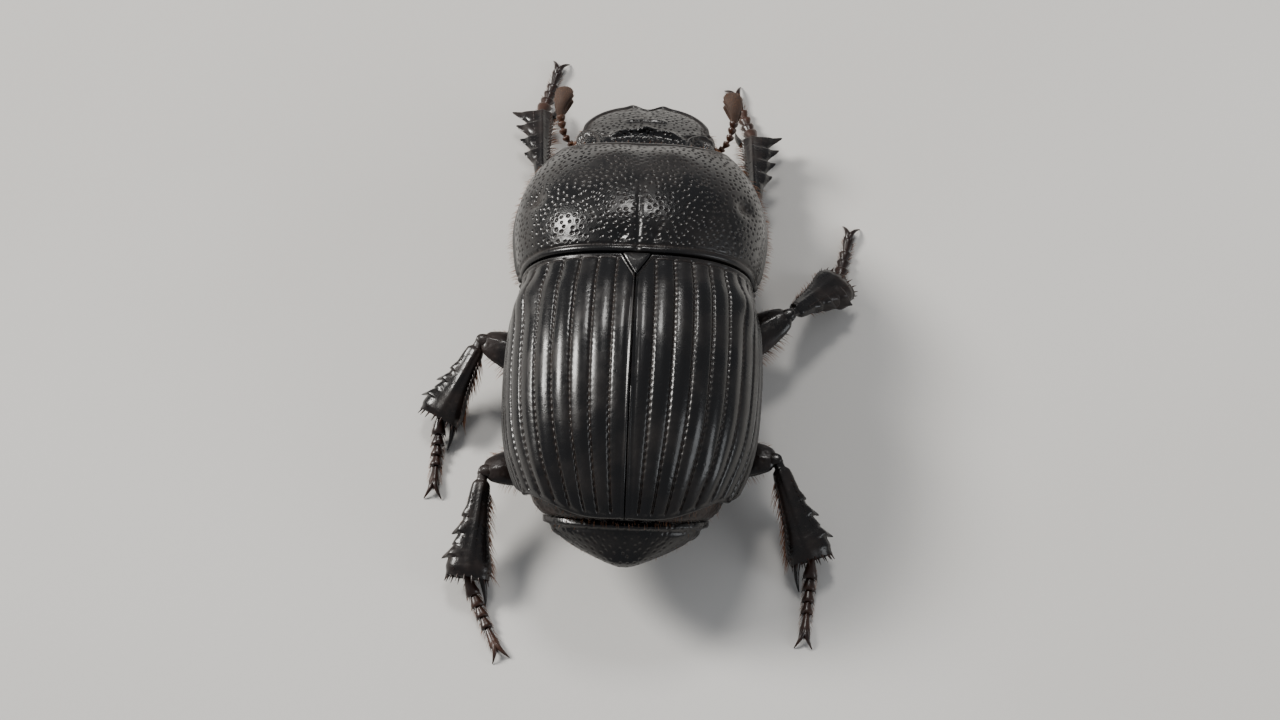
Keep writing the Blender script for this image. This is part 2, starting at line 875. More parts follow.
class Tree(Bench):
    """A geometry tree with named inputs, which ends in Realize Instances and Set Material."""

    def __init__(self, name: str, **sizes: str) -> None:
        """Makes a tree.

        Args:
            name: The tree's name.
            sizes: Each input's name, with underscores for spaces, and its kind, such as "Float".
        """
        super().__init__(bpy.data.node_groups.new(name, "GeometryNodeTree"))
        face = self.tree.interface
        face.new_socket(name="Geometry", in_out="OUTPUT", socket_type="NodeSocketGeometry")
        self.keys = {
            size: face.new_socket(
                name=size.replace("_", " "), in_out="INPUT", socket_type=f"NodeSocket{kind}"
            ).identifier
            for size, kind in {"Geometry": "Geometry", **sizes, "Finish": "Material"}.items()
        }
        self.entry = self.tree.nodes.new("NodeGroupInput")

    def size(self, name: str) -> Wire:
        """One of the tree's named inputs."""
        return Wire(self, self.entry.outputs[name])

    def kept(self, name: str, kind: str = "FLOAT") -> Wire:
        """A number or a vector kept at the points."""
        return self.add("GeometryNodeInputNamedAttribute", {"data_type": kind}, {"Name": name})

    def keep(
        self, geometry: Wire, name: str, value: Wire, kind: str = "FLOAT", domain: str = "POINT"
    ) -> Wire:
        """Keeps a value with the geometry."""
        inputs = {"Geometry": geometry, "Name": name, "Value": value}
        return self.add("GeometryNodeStoreNamedAttribute", {"data_type": kind, "domain": domain}, inputs)

    def raised(self, geometry: Wire, height: Wire) -> Wire:
        """Moves each point out along its normal by a height in metres."""
        push = self.scaled(self.add("GeometryNodeInputNormal"), height)
        return self.add("GeometryNodeSetPosition", None, {"Geometry": geometry, "Offset": push})

    def turned(self, way: Wire, aside: Wire, axis: str) -> Wire:
        """Turns that point Z one way and then, round Z, a second axis as near as it goes to another.

        Args:
            way: Where Z points.
            aside: Where the second axis leans.
            axis: The second axis.

        Returns:
            The turns.
        """
        kind = "FunctionNodeAlignRotationToVector"
        turn = self.add(kind, {"axis": "Z"}, {"Vector": way})
        return self.add(kind, {"axis": axis, "pivot_axis": "Z"}, {"Rotation": turn, "Vector": aside})

    def close(self, geometry: Wire, patch: Wire | None = None) -> None:
        """Ends the tree.

        Args:
            geometry: What it has made.
            patch: Each corner's place on the unwrapped skin, where the piece is a coat.
        """
        solid = self.add("GeometryNodeRealizeInstances", None, {"Geometry": geometry})
        if patch:
            solid = self.keep(solid, "OFBake", patch, "FLOAT2", "CORNER")
        inputs = {"Geometry": solid, "Material": self.size("Finish")}
        dressed = self.add("GeometryNodeSetMaterial", None, inputs)
        self.add("NodeGroupOutput", None, {"Geometry": dressed})

    def work(self, piece: Piece, finish: Finish, **sizes: object) -> Piece:
        """Runs the tree on a piece and leaves it a plain mesh.

        Args:
            piece: The piece.
            finish: The finish that the tree sets.
            sizes: The named inputs, with underscores for spaces.

        Returns:
            The piece.
        """
        modifier = piece.modifiers.new(self.tree.name, "NODES")
        modifier.node_group = self.tree
        for name, value in {**sizes, "Finish": material_of(finish)}.items():
            modifier[self.keys[name]] = value
        settle(piece)
        return piece


class Grooves(Tree):
    """Punctured grooves along a wing case, with gently domed intervals between them."""

    def __init__(self) -> None:
        """Builds the tree. The point marks are interval, from_base and skin."""
        super().__init__(
            "wing case grooves", Groove_Depth="Float", Groove_Width="Float", Pit_Spacing="Float",
            Pit_Depth="Float", Pit_Width="Float", Doming="Float", Intervals="Float",
        )
        interval, place = self.kept("interval"), self.add("GeometryNodeInputPosition")
        share = interval % 1.0
        off = share.least(1 - share)
        inside = interval.eased(0.3, 0.8) * (self.size("Intervals") - interval).eased(0.3, 0.7)
        groove = off.hump(self.size("Groove Width")) * inside
        spacing = self.size("Pit Spacing")
        waver = (self.noise(place, 0.9, 2.0) - 0.5) * 0.34
        staggered = self.kept("from_base") + self.maths("ROUND", interval) * 0.37 + waver
        lengthways = ((staggered % spacing) / spacing - 0.5) * spacing
        pit = off.hump(self.size("Groove Width") * 1.35) * lengthways.hump(self.size("Pit Width")) * inside
        uneven = (self.noise(place, 1.3, 3.0) - 0.5) * 0.03
        height = self.size("Doming") * off.eased(0.0, 0.5) + uneven
        height = height - self.size("Groove Depth") * groove - self.size("Pit Depth") * pit
        skin = self.kept("skin")
        moved = self.raised(self.size("Geometry"), height * skin * MM)
        hollow = (groove * 0.55 + pit * 0.9).least(1.0)
        self.close(self.keep(moved, "hollow", self.kept("hollow").most(hollow * skin)))


@dataclass(frozen=True)
class Pitting:
    """How closely a plate is pitted, and how wide and deep the pits are, in millimetres."""

    spacing: float
    radius: float
    depth: float
    seed: int


class Pits(Tree):
    """Pits scattered over a plate, from a seeded spread of points that keep their distance."""

    def __init__(self) -> None:
        """Builds the tree. The point mark pitted says where pits are and how deep."""
        super().__init__("scattered pits", Spacing="Float", Radius="Float", Depth="Float", Seed="Int")
        ground, pitted, apart = self.size("Geometry"), self.kept("pitted"), self.size("Spacing")
        spread = self.add("GeometryNodeDistributePointsOnFaces", {"distribute_method": "POISSON"}, {
            "Mesh": ground, "Distance Min": apart, "Density Max": 2.2 / (apart * apart),
            "Density Factor": pitted.eased(0.0, 0.5), "Seed": self.size("Seed"),
        })
        near = self.add(
            "GeometryNodeProximity", {"target_element": "POINTS"}, {"Geometry": spread}, "Distance"
        )
        patch = self.noise(self.add("GeometryNodeInputPosition"), 0.7, 1.0)
        off = near / (self.size("Radius") * (0.55 + 0.9 * patch))
        share = off.least(1.0)
        inside = 1 - share * share
        dimple = inside * inside * pitted
        lip = (off - 1.15).hump(0.3) * 0.10 * pitted
        moved = self.raised(ground, (lip - dimple) * self.size("Depth"))
        self.close(self.keep(moved, "hollow", self.kept("hollow").most(dimple * 0.8)))

    def pit(self, form: Form, name: str, finish: Finish, pitting: Pitting) -> Piece:
        """Sets a form down as a piece and pits it.

        Args:
            form: The form.
            name: The piece's name.
            finish: Its finish.
            pitting: How it is pitted.

        Returns:
            The piece.
        """
        return self.work(
            form.piece(name, finish), finish, Spacing=pitting.spacing * MM, Radius=pitting.radius * MM,
            Depth=pitting.depth * MM, Seed=pitting.seed,
        )


class SetOut(Tree):
    """Copies of one template on a guide's points, turned and sized by what the points keep."""

    def __init__(self) -> None:
        """Builds the tree. The point marks are facing, upward and size."""
        super().__init__("set out along a guide", Template="Object", Keep_Guide="Bool")
        ground = self.size("Geometry")
        made = self.add(
            "GeometryNodeObjectInfo", {"transform_space": "ORIGINAL"},
            {"Object": self.size("Template"), "As Instance": True}, "Geometry",
        )
        facing, upward, size = (self.kept(name, "FLOAT_VECTOR") for name in ("facing", "upward", "size"))
        copies = self.add("GeometryNodeInstanceOnPoints", None, {
            "Points": ground, "Instance": made, "Rotation": self.turned(facing, upward, "Y"), "Scale": size,
        })
        both = self.add("GeometryNodeJoinGeometry")
        for part in (copies, ground):
            self.tree.links.new(part.socket, both.socket.node.inputs[0])
        self.close(self.add("GeometryNodeSwitch", {"input_type": "GEOMETRY"}, {
            "Switch": self.size("Keep Guide"), "False": copies, "True": both,
        }))


class Coat(Tree):
    """Curved tapering bristles, grown from beds of skin along the lie that the beds keep."""

    def __init__(self) -> None:
        """Builds the tree. The point marks are lie, curl, reach and bed_map."""
        super().__init__(
            "bristles", Density="Float", Slenderness="Float", Unruliness="Float", Seed="Int",
        )
        seed = self.size("Seed")
        roots = self.add("GeometryNodeDistributePointsOnFaces", {"distribute_method": "RANDOM"}, {
            "Mesh": self.size("Geometry"), "Density": self.size("Density"), "Seed": seed,
        })
        stray = self.add("FunctionNodeRandomValue", {"data_type": "FLOAT_VECTOR"}, {
            "Min": (-1.0, -1.0, -1.0), "Max": (1.0, 1.0, 1.0), "Seed": seed,
        })
        stray = self.scaled(stray, self.size("Unruliness"))
        lie = self.vector("ADD", self.kept("lie", "FLOAT_VECTOR"), stray)
        uneven = self.add("FunctionNodeRandomValue", {"data_type": "FLOAT"}, {
            "Min": 0.55, "Max": 1.0, "Seed": seed,
        })
        copies = self.add("GeometryNodeInstanceOnPoints", None, {
            "Points": roots, "Instance": self._hair(),
            "Rotation": self.turned(lie, self.kept("curl", "FLOAT_VECTOR"), "X"),
            "Scale": self.kept("reach") * uneven,
        })
        patch = self.scaled(self.kept("patch", "FLOAT_VECTOR"), TUFT_PATCH)
        self.close(copies, self.vector("ADD", self.kept("bed_map", "FLOAT_VECTOR"), patch))

    def _hair(self) -> Wire:
        """One bristle of length 1 that stands along Z and bends towards X.

        Returns:
            The bristle, with its corners' place in its patch kept.
        """
        slender = self.size("Slenderness")
        shaft = self.add("GeometryNodeMeshCone", {"fill_type": "NGON"}, {
            "Vertices": 3, "Side Segments": 4, "Radius Top": slender * 0.12,
            "Radius Bottom": slender, "Depth": 1.0,
        })
        height = self.add("ShaderNodeSeparateXYZ", None, {0: self.add("GeometryNodeInputPosition")}, "Z")
        rise = height.least(1.0)
        across = height.also("Y") / slender * 0.45
        patch = self.add("ShaderNodeCombineXYZ", None, {"X": across, "Y": rise * 0.9 - 0.45})
        marked = self.keep(self.keep(shaft, "along_hair", rise), "patch", patch, "FLOAT_VECTOR")
        sweep = self.add("ShaderNodeCombineXYZ", None, {"X": rise * rise * 0.28})
        return self.add("GeometryNodeSetPosition", None, {"Geometry": marked, "Offset": sweep})


# Trunk


@dataclass(frozen=True)
class BodyPlan:
    """The trunk's driving curves and the lines that part its plates."""

    half_width: Curve = Curve((
        (-9.8, 4.9), (-8.8, 5.65), (-6.8, 6.7), (-4.2, 7.2), (-1.8, 7.0), (0.0, 6.6),
        (2.2, 7.05), (6.5, 7.2), (10.5, 6.8), (14.0, 5.4), (15.4, 4.4), (16.6, 3.0),
    ))
    top: Curve = Curve((
        (-9.8, 7.7), (-8.2, 9.3), (-5.5, 10.9), (-2.6, 11.5), (0.0, 11.1),
        (2.5, 11.6), (6.0, 11.8), (10.0, 11.1), (13.5, 9.5), (15.4, 7.9), (16.6, 6.3),
    ))
    margin: Curve = Curve(((-9.8, 5.5), (-5.0, 6.1), (0.0, 6.2), (8.0, 5.8), (16.6, 5.4)))
    belly: Curve = Curve((
        (-8.4, 4.2), (-5.0, 3.4), (0.0, 3.2), (8.0, 3.1), (12.0, 3.5), (16.6, 4.6),
    ))
    squareness: float = 2.25
    gap: float = 0.1
    shell: float = 0.55
    fold: float = math.radians(-20)
    seam_bow: float = 0.55

    def shift(self) -> Array:
        """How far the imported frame's origin lies from the plan's, in metres."""
        low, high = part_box("pronotum")
        return np.array([(low.x + high.x) / 2, high.y + self.gap / 2 * MM, 0.0])

    def surface(self, angle: Array, distance: Array, inset: float = 0.0, widening: Array = 0.0) -> Array:
        """Points of the trunk's outer surface, or of one inside it.

        Args:
            angle: 90 degrees is the back, 0 and 180 are the two sides.
            distance: Millimetres behind the seam.
            inset: How far inside the back and the sides the points lie.
            widening: How much wider it is on each side.

        Returns:
            The points.
        """
        angle, distance = np.broadcast_arrays(angle, distance)
        margin = self.margin(distance)
        up, down = self.top(distance) - margin - inset, margin - self.belly(distance)
        power = 2 / self.squareness
        x = (self.half_width(distance) - inset + widening) * signed_power(np.cos(angle), power)
        z = margin + np.where(np.sin(angle) >= 0, up, down) * signed_power(np.sin(angle), power)
        return np.stack([x, distance, z], -1)

    def arcs(self, first: float, last: float, distance: float = 4.0) -> tuple[Array, Array]:
        """Measures round one section.

        Args:
            first: The angle that it starts from.
            last: The angle that it ends at.
            distance: Where the section is taken.

        Returns:
            Angles, and the length run through at each.
        """
        angles = np.linspace(first, last, 4001)
        steps = np.linalg.norm(np.diff(self.surface(angles, distance), axis=0), axis=1)
        return angles, np.concatenate([[0], np.cumsum(steps)])

    def spread(self, angle: Array) -> Array:
        """How far out a point lies as a share of the half width: 1 all along the fold."""
        inside = (angle >= 0) & (angle <= math.pi)
        return np.where(inside, np.abs(np.cos(angle)) ** (2 / self.squareness), 1.0)

    def seam(self, out: Array | float) -> Array | float:
        """The line between the pronotum and the wing cases."""
        return -self.seam_bow * out * out


PLAN = BodyPlan()
SHIFT = PLAN.shift()


def edge_runs(grid: Array) -> tuple[Array, Array, Array, Array]:
    """Measures how far in each point of a sheet lies.

    Args:
        grid: The sheet's points.

    Returns:
        The ways from its front, rear, first and last edge.
    """
    down = np.linalg.norm(np.diff(grid, axis=0), axis=2)
    over = np.linalg.norm(np.diff(grid, axis=1), axis=2)
    front = np.pad(np.cumsum(down, 0), ((1, 0), (0, 0)))
    first = np.pad(np.cumsum(over, 1), ((0, 0), (1, 0)))
    return front, front[-1:] - front, first, first[:, -1:] - first


def eased_rows(count: int, share: float = 0.3) -> Array:
    """Places from 0 to 1 that lie a little closer at both ends."""
    even = np.linspace(0, 1, count + 1)
    return mix(even, 0.5 - 0.5 * np.cos(math.pi * even), share)


def enrol(piece: Piece, slot: Slot, *nodes: str) -> None:
    """Puts a finished piece on the beetle's body.

    Args:
        piece: The piece.
        slot: The record's slot that it takes its finish from.
        *nodes: The CAD nodes that it stands for.
    """
    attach(piece, BODY)
    if nodes:
        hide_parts(*nodes)
    LOG.info("%s: %d faces", piece.name, len(piece.data.polygons))


@dataclass
class Pronotum:
    """The shield behind the head, closely pitted, with a raised rim and a faint furrow."""

    length: float = 8.9
    collar_bow: float = 0.9
    columns: int = 440
    rows: int = 192
    coarse: int = 8
    edge_radius: float = 0.2
    rim: Ridge = Ridge(0.13, 0.20)
    front_border: Ridge = Ridge(-0.07, 0.10, 0.45)
    rear_border: Ridge = Ridge(-0.07, 0.10, 0.42)
    side_border: Ridge = Ridge(-0.07, 0.14, 0.42)
    furrow: Ridge = Ridge(-0.09, 0.17)
    side_dent: Mound = Mound(-0.30, 6.05, -4.3, 0.52, (1.2, 1.0))
    base_dent: Mound = Mound(-0.17, 0.95, -0.95, 0.30, (1.0, 0.8))
    boss: Mound = Mound(0.16, 1.7, -7.2, 0.75, (1 / 1.5, 1.0))
    brow_hollow: Mound = Mound(-0.10, 0.0, -8.3, 0.5, (1 / 2.2, 1.0))
    pitting: Pitting = Pitting(0.30, 0.13, 0.055, 11)

    def front(self, out: Array) -> Array:
        """Its front edge, which bows forwards towards the sides."""
        return -self.length - self.collar_bow * out**3

    def form(self) -> Form:
        """The shaped shield before its pits.

        Returns:
            The form.
        """
        angles, runs = PLAN.arcs(math.pi - PLAN.fold, PLAN.fold, -4.0)
        run = np.linspace(0, runs[-1], self.columns + 1)
        angle = np.interp(run, runs, angles)
        out = PLAN.spread(angle)
        rear = PLAN.seam(out) - PLAN.gap / 2
        distance = mix(self.front(out), rear, eased_rows(self.rows)[:, None])
        grid = PLAN.surface(angle[None], distance)
        ends = edge_runs(grid)
        inward = np.minimum.reduce(ends)
        wide, y = np.abs(grid[..., 0]), grid[..., 1]
        first_side, last_side = np.interp([-math.pi, 0.0], -angles, runs)
        from_rim = np.minimum(np.abs(run - first_side), np.abs(run - last_side))[None]
        upper = step(np.sin(angle), 0.0, 0.12)[None]
        border = np.maximum(self.front_border.share(ends[0]), self.rear_border.share(ends[1]))
        border = np.maximum(border, self.side_border.share(from_rim) * upper) * step(inward, 0.1, 0.3)
        dent = self.side_dent.share(wide, y)
        relief = (
            self.rim.rise(from_rim) + self.front_border.height * border
            + self.furrow.rise(wide) * step(y, -6.5, -1.6) + self.side_dent.height * dent * upper
            + sum(mound.rise(wide, y) for mound in (self.base_dent, self.boss, self.brow_hollow))
            - rounded_edge(inward, self.edge_radius)
        )
        grid = grid + normals_of(grid) * relief[..., None]
        pitted = step(inward, 0.3, 0.7) * (1 - 0.4875 * bell(wide, 0.35))
        pitted = pitted * (1 - 0.8 * bell(from_rim, 0.3)) * mix(0.45, 1.0, upper)
        marks = {"pitted": pitted, "hollow": np.maximum(border * 0.6, dent * 0.7)}
        return Form.shell(grid, PLAN.shell, self.coarse, marks)

    def build(self, pits: Pits) -> None:
        """Makes, pits and enrols the shield."""
        piece = pits.pit(self.form(), "pronotum_shield", SHELL, self.pitting)
        enrol(piece, Slot.SHELL, "pronotum")


@dataclass
class WingCase:
    """One wing case: punctured grooves, domed intervals, shoulder and rear swellings, a keeled side."""

    side: int
    length: float = 15.4
    tip_bow: float = 2.2
    intervals: int = 9
    rows: int = 240
    coarse: int = 6
    scutellum_length: float = 1.62
    scutellum_half_width: float = 0.86
    suture_gap: float = 0.03
    corner: float = 1.15
    edge_radius: float = 0.16
    suture_radius: float = 0.06
    shoulder: Mound = Mound(0.30, 6.3, 1.9, 1.0, (1.1, 0.8))
    tail_swell: Mound = Mound(0.16, 5.3, 12.6, 0.9, (1.1, 0.7))
    keel: Ridge = Ridge(0.14, 0.16)
    above_keel: Ridge = Ridge(-0.06, 0.16, -0.42)
    bead: Ridge = Ridge(0.05, 0.10, 0.10)
    beside_bead: Ridge = Ridge(-0.05, 0.09, 0.32)
    base_border: Ridge = Ridge(-0.06, 0.10, 0.32)
    inside_interval: tuple[float, ...] = (
        0.0, 0.04, 0.08, 0.125, 0.20, 0.34, 0.50, 0.66, 0.80, 0.875, 0.92, 0.96,
    )

    def rear(self, out: Array) -> Array:
        """The rear edge, which bows forwards towards the side."""
        return self.length - self.tip_bow * out**4

    def form(self) -> Form:
        """The shaped case before its grooves.

        Returns:
            The form.
        """
        half = PLAN.half_width(0.0)
        suture = math.acos((self.suture_gap / 2 / half) ** (PLAN.squareness / 2))
        angles, runs = PLAN.arcs(suture, PLAN.fold)
        side_run = float(np.interp(0.0, -angles, runs))
        width = side_run / self.intervals
        places = [n + share for n in range(self.intervals) for share in self.inside_interval]
        fold = np.linspace(0, (runs[-1] - side_run) / width, 13)
        interval = np.concatenate([places, self.intervals + fold])
        angle = np.interp(interval * width, runs, angles)
        out = PLAN.spread(angle)
        room = np.clip(1 - out * half / self.scutellum_half_width, 0, 1) * self.scutellum_length
        front = PLAN.seam(out) + PLAN.gap / 2 + room
        corner = np.clip((interval * width - side_run) / self.corner + 1, 0, 1)
        rear = self.rear(out) - self.corner * (1 - np.sqrt(1 - corner**2))
        distance = mix(front, rear, eased_rows(self.rows, 0.2)[:, None])
        tucked = np.minimum(angle, 0)[None] * (1 - 0.8 * step(distance, 7.0, 12.0))
        grid = PLAN.surface(np.maximum(angle, 0)[None] + tucked, distance)
        base, end, middle, fold_end = edge_runs(grid)
        inward = np.minimum.reduce([base, end, fold_end])
        across, y = interval[None], grid[..., 1]
        off_keel = across - self.intervals
        relief = (
            self.shoulder.rise(across, y) + self.tail_swell.rise(across, y)
            + self.keel.rise(off_keel) + self.above_keel.rise(off_keel)
            + self.bead.rise(middle) + self.beside_bead.rise(middle) * step(base, 0.2, 0.6)
            + self.base_border.rise(base)
            - rounded_edge(inward, self.edge_radius) - rounded_edge(middle, self.suture_radius)
        )
        grid = mirrored(grid + normals_of(grid) * relief[..., None], self.side)
        skin = step(np.minimum(inward, middle), 0.18, 0.55)
        skin = skin * (1 - self.shoulder.share(across, y) * 0.75) * (1 - self.keel.share(off_keel))
        under_keel = 0.35 * self.above_keel.share(off_keel) * step(inward, 0.1, 0.4)
        return Form.shell(grid, PLAN.shell, self.coarse, {
            "interval": np.broadcast_to(across, y.shape),
            "from_base": y,
            "skin": skin,
            "hollow": 0.5 * bell(base - self.base_border.place, 0.12) + under_keel,
        })

    def build(self, grooves: Grooves) -> None:
        """Makes, grooves and enrols the case.

        Args:
            grooves: The tree that grooves it.
        """
        word = SIDES[self.side]
        piece = self.form().piece(f"wing_case_{word}_shell", SHELL)
        grooves.work(
            piece, SHELL, Groove_Depth=0.085, Groove_Width=0.07, Pit_Spacing=0.38, Pit_Depth=0.05,
            Pit_Width=0.095, Doming=0.075, Intervals=float(self.intervals),
        )
        enrol(piece, Slot.SHELL, f"wing_case_{word}")


@dataclass
class Scutellum:
    """The small three-cornered shield between the bases of the wing cases."""

    length: float = 1.62
    half_width: float = 0.84
    depth: float = 0.55
    proud: float = 0.04
    softening: tuple[int, ...] = (1, 2, 3, 4, 4, 4, 3, 2, 1)
    crown: Stops = (
        (1.0, 0.12), (0.97, 0.04), (0.9, 0.0), (0.7, -0.03), (0.45, -0.05), (0.2, -0.055), (0.06, -0.055),
    )
    pitting: Pitting = Pitting(0.3, 0.1, 0.02, 5)

    def build(self, pits: Pits) -> None:
        """Makes, pits and enrols the shield.

        Args:
            pits: The tree that pits it.
        """
        corners = np.array([(-1.0, 0.0), (1.0, 0.0), (0.0, 1.0), (-1.0, 0.0)])
        t = np.linspace(0, 3, 97)[:-1]
        sharp = np.stack([np.interp(t, range(4), column) for column in corners.T], -1)
        middle = len(self.softening) // 2
        parts = [np.roll(sharp, n - middle, 0) * part for n, part in enumerate(self.softening)]
        base = (0.0, PLAN.gap / 2)
        flat = sum(parts) / sum(self.softening) * (self.half_width, self.length) + base
        centre = np.array([0.0, self.length * 0.36]) + base
        rings = [np.column_stack([flat, np.full(len(flat), float(PLAN.top(0.5)) - self.depth)])]
        for size, drop in self.crown:
            ring = mix(centre, flat, size)
            rings.append(np.column_stack([ring, PLAN.top(ring[:, 1]) - drop + self.proud]))
        form = Form.lofted(np.array(rings)).marked("pitted", 0.6)
        enrol(pits.pit(form, "scutellum_shield", SHELL, self.pitting), Slot.SHELL, "scutellum")


HIPS: dict[Pair, tuple[str, Place, Place]] = {
    Pair.FORE: ("prosternum", (2.1, -5.2, 3.75), (1.45, 1.7, 0.85)),
    Pair.MIDDLE: ("metasternum", (3.65, 2.4, 3.45), (1.05, 2.1, 0.6)),
    Pair.HIND: ("metasternum", (2.85, 8.0, 3.4), (2.2, 1.15, 0.55)),
}


@dataclass
class Underside:
    """The trunk inside its plates: breast, belly with its overlapping rings, tail plate and hips."""

    front: float = -8.6
    rear: float = 16.7
    inset: float = 0.75
    flank: Ridge = Ridge(0.36, 1.6, 13.2)
    tip_start: float = 14.6
    tip_narrowing: float = 0.8
    neck_bluntness: float = 9.0
    tail_bluntness: float = 5.0
    waist: float = 9.6
    tail_cut: Place = (0.0, 14.3, 6.0)
    tail_tilt: float = math.radians(35)
    rings: int = 340
    sides: int = 400
    belly_rings: int = 6
    belly_end: float = 14.8
    ring_step: float = 0.13
    ring_bow: float = 0.45
    keel_line: Ridge = Ridge(-0.14, 0.22)
    flank_line: Ridge = Ridge(-0.10, 0.14, 4.9)
    hip_line: Ridge = Ridge(-0.12, 0.14, 1.0)
    collar_line: Ridge = Ridge(-0.12, 0.16, -2.2)
    plate_rise: float = 0.16
    plate_border: Ridge = Ridge(-0.12, 0.14, 0.48)
    plate_seam: Ridge = Ridge(-0.10, 0.14)
    pitting: Pitting = Pitting(0.36, 0.15, 0.045, 21)
    tail_pitting: Pitting = Pitting(0.29, 0.12, 0.05, 24)

    def skin(self, angle: Array, distance: Array) -> Array:
        """Points of the trunk inside its plates.

        Args:
            angle: 90 degrees is the back, 0 and 180 are the two sides.
            distance: Millimetres behind the seam.

        Returns:
            The points.
        """
        middle, half = (self.front + self.rear) / 2, (self.rear - self.front) / 2
        reach = (distance - middle) / half
        bluntness = np.where(reach < 0, self.neck_bluntness, self.tail_bluntness)
        swell = np.maximum(0, 1 - np.abs(reach) ** bluntness) ** (1 / bluntness)
        tip = np.clip((distance - self.tip_start) / (self.rear - self.tip_start), 0, 1)
        points = PLAN.surface(angle, distance, self.inset, self.flank.rise(distance))
        margin = PLAN.margin(distance)
        x = points[..., 0] * swell * np.sqrt(1 - self.tip_narrowing * tip**3)
        return np.stack([x, points[..., 1], margin + (points[..., 2] - margin) * swell], -1)

    def core(self) -> Form:
        """The whole trunk inside its plates, with its furrows and belly rings worked in.

        Returns:
            The form.
        """
        middle, half = (self.front + self.rear) / 2, (self.rear - self.front) / 2
        s = np.linspace(-0.999, 0.999, self.rings)[:, None]
        rings = self.skin(turns(self.sides)[None], middle + half * (1.5 * s - 0.5 * s**3))
        wrapped = np.concatenate([rings[:, -1:], rings, rings[:, :1]], 1)
        return Form.lofted(rings + normals_of(wrapped)[:, 1:-1] * self.relief(rings)[..., None])

    def relief(self, rings: Array) -> Array:
        """How far each point of the core is raised.

        Args:
            rings: The core's points.

        Returns:
            Heights in millimetres.
        """
        x, y, z = rings[..., 0], rings[..., 1], rings[..., 2]
        wide = np.abs(x)
        span = (self.belly_end - self.waist) / self.belly_rings
        share = (y - self.waist - self.ring_bow * (x / 6) ** 2) / span % 1.0
        belly = share - step(share, 0.72, 1.0) - bell(np.minimum(share, 1 - share), 0.19)
        belly = self.ring_step * belly * window(y, 9.8, 10.2, 14.6, 15.4)
        breast = (
            self.keel_line.rise(x) * window(y, 1.2, 2.2, 8.4, 9.2)
            + self.flank_line.rise(wide + 0.05 * y) * step(y, 0.3, 0.8)
            + self.hip_line.rise(y - 0.4 * np.cos(x * 0.8)) * (wide < 3.2)
        ) * (1 - step(y, 9.3, 9.6))
        collar = self.collar_line.rise(y + 0.3 * wide) * (1 - step(y, -1.2, -0.6))
        behind = (rings - self.tail_cut) @ self.tail_way()
        plate = self.plate_rise * step(behind, 0.0, 0.32) + self.plate_border.rise(behind)
        return (belly + breast + collar) * step(5.4 - z, 0.0, 0.5) + plate + self.plate_seam.rise(behind)

    def tail_way(self) -> Array:
        """The direction that the tail plate's base faces away from."""
        return np.array([0.0, math.cos(self.tail_tilt), -math.sin(self.tail_tilt)])

    def slices(self) -> dict[str, list[tuple[Array, Array]]]:
        """How the core is cut up.

        Returns:
            The cuts round each node, as (point, direction kept).
        """
        back, tail = np.array([0.0, 1.0, 0.0]), self.tail_way()
        seam, waist, point = back * PLAN.seam(1.0), back * self.waist, np.array(self.tail_cut)
        gap, tail_gap = back * PLAN.gap / 2, tail * PLAN.gap / 2
        return {
            "prosternum": [(seam - gap, -back)],
            "metasternum": [(seam + gap, back), (waist - gap, -back)],
            "abdomen": [(waist + gap, back), (point - tail_gap, -tail)],
            "pygidium": [(point + tail_gap, tail)],
        }

    def sliced(self, form: Form, cuts: list[tuple[Array, Array]]) -> Form:
        """Cuts a form and closes it again.

        Args:
            form: The form.
            cuts: A point on each cut, and the direction of what is kept.

        Returns:
            What is left.
        """
        bm = bmesh.new()
        verts = [bm.verts.new(point) for point in form.points]
        for face in form.faces:
            bm.faces.new([verts[corner] for corner in face])
        for point, keep in cuts:
            parts = bm.verts[:] + bm.edges[:] + bm.faces[:]
            bmesh.ops.bisect_plane(bm, geom=parts, plane_co=point, plane_no=keep, clear_inner=True)
            bmesh.ops.edgenet_fill(bm, edges=[edge for edge in bm.edges if edge.is_boundary])
        bmesh.ops.triangulate(bm, faces=[face for face in bm.faces if len(face.verts) > 4])
        return Form.taken(bm)

    def build(self, pits: Pits) -> None:
        """Makes, pits and enrols the four lengths of the trunk, with the hips on them.

        Args:
            pits: The tree that pits them.
        """
        core = self.core()
        for number, (name, cuts) in enumerate(self.slices().items()):
            form = self.sliced(core, cuts)
            tail = name == "pygidium"
            form.marks["pitted"] = 0.9 * (1 - bell(form.points[:, 2] - 9.5, 2.0) * (not tail))
            hips = [
                Form.ball(mirrored(place, side), radii, 56).marked("pitted", 0.7)
                for node, place, radii in HIPS.values() if node == name for side in SIDES
            ]
            finish = SHELL if tail else BENEATH
            pitting = self.tail_pitting if tail else replace(self.pitting, seed=self.pitting.seed + number)
            piece = pits.pit(joined([form, *hips]), f"{name}_plate", finish, pitting)
            enrol(piece, Slot.UNDERSIDE, name)


# Head


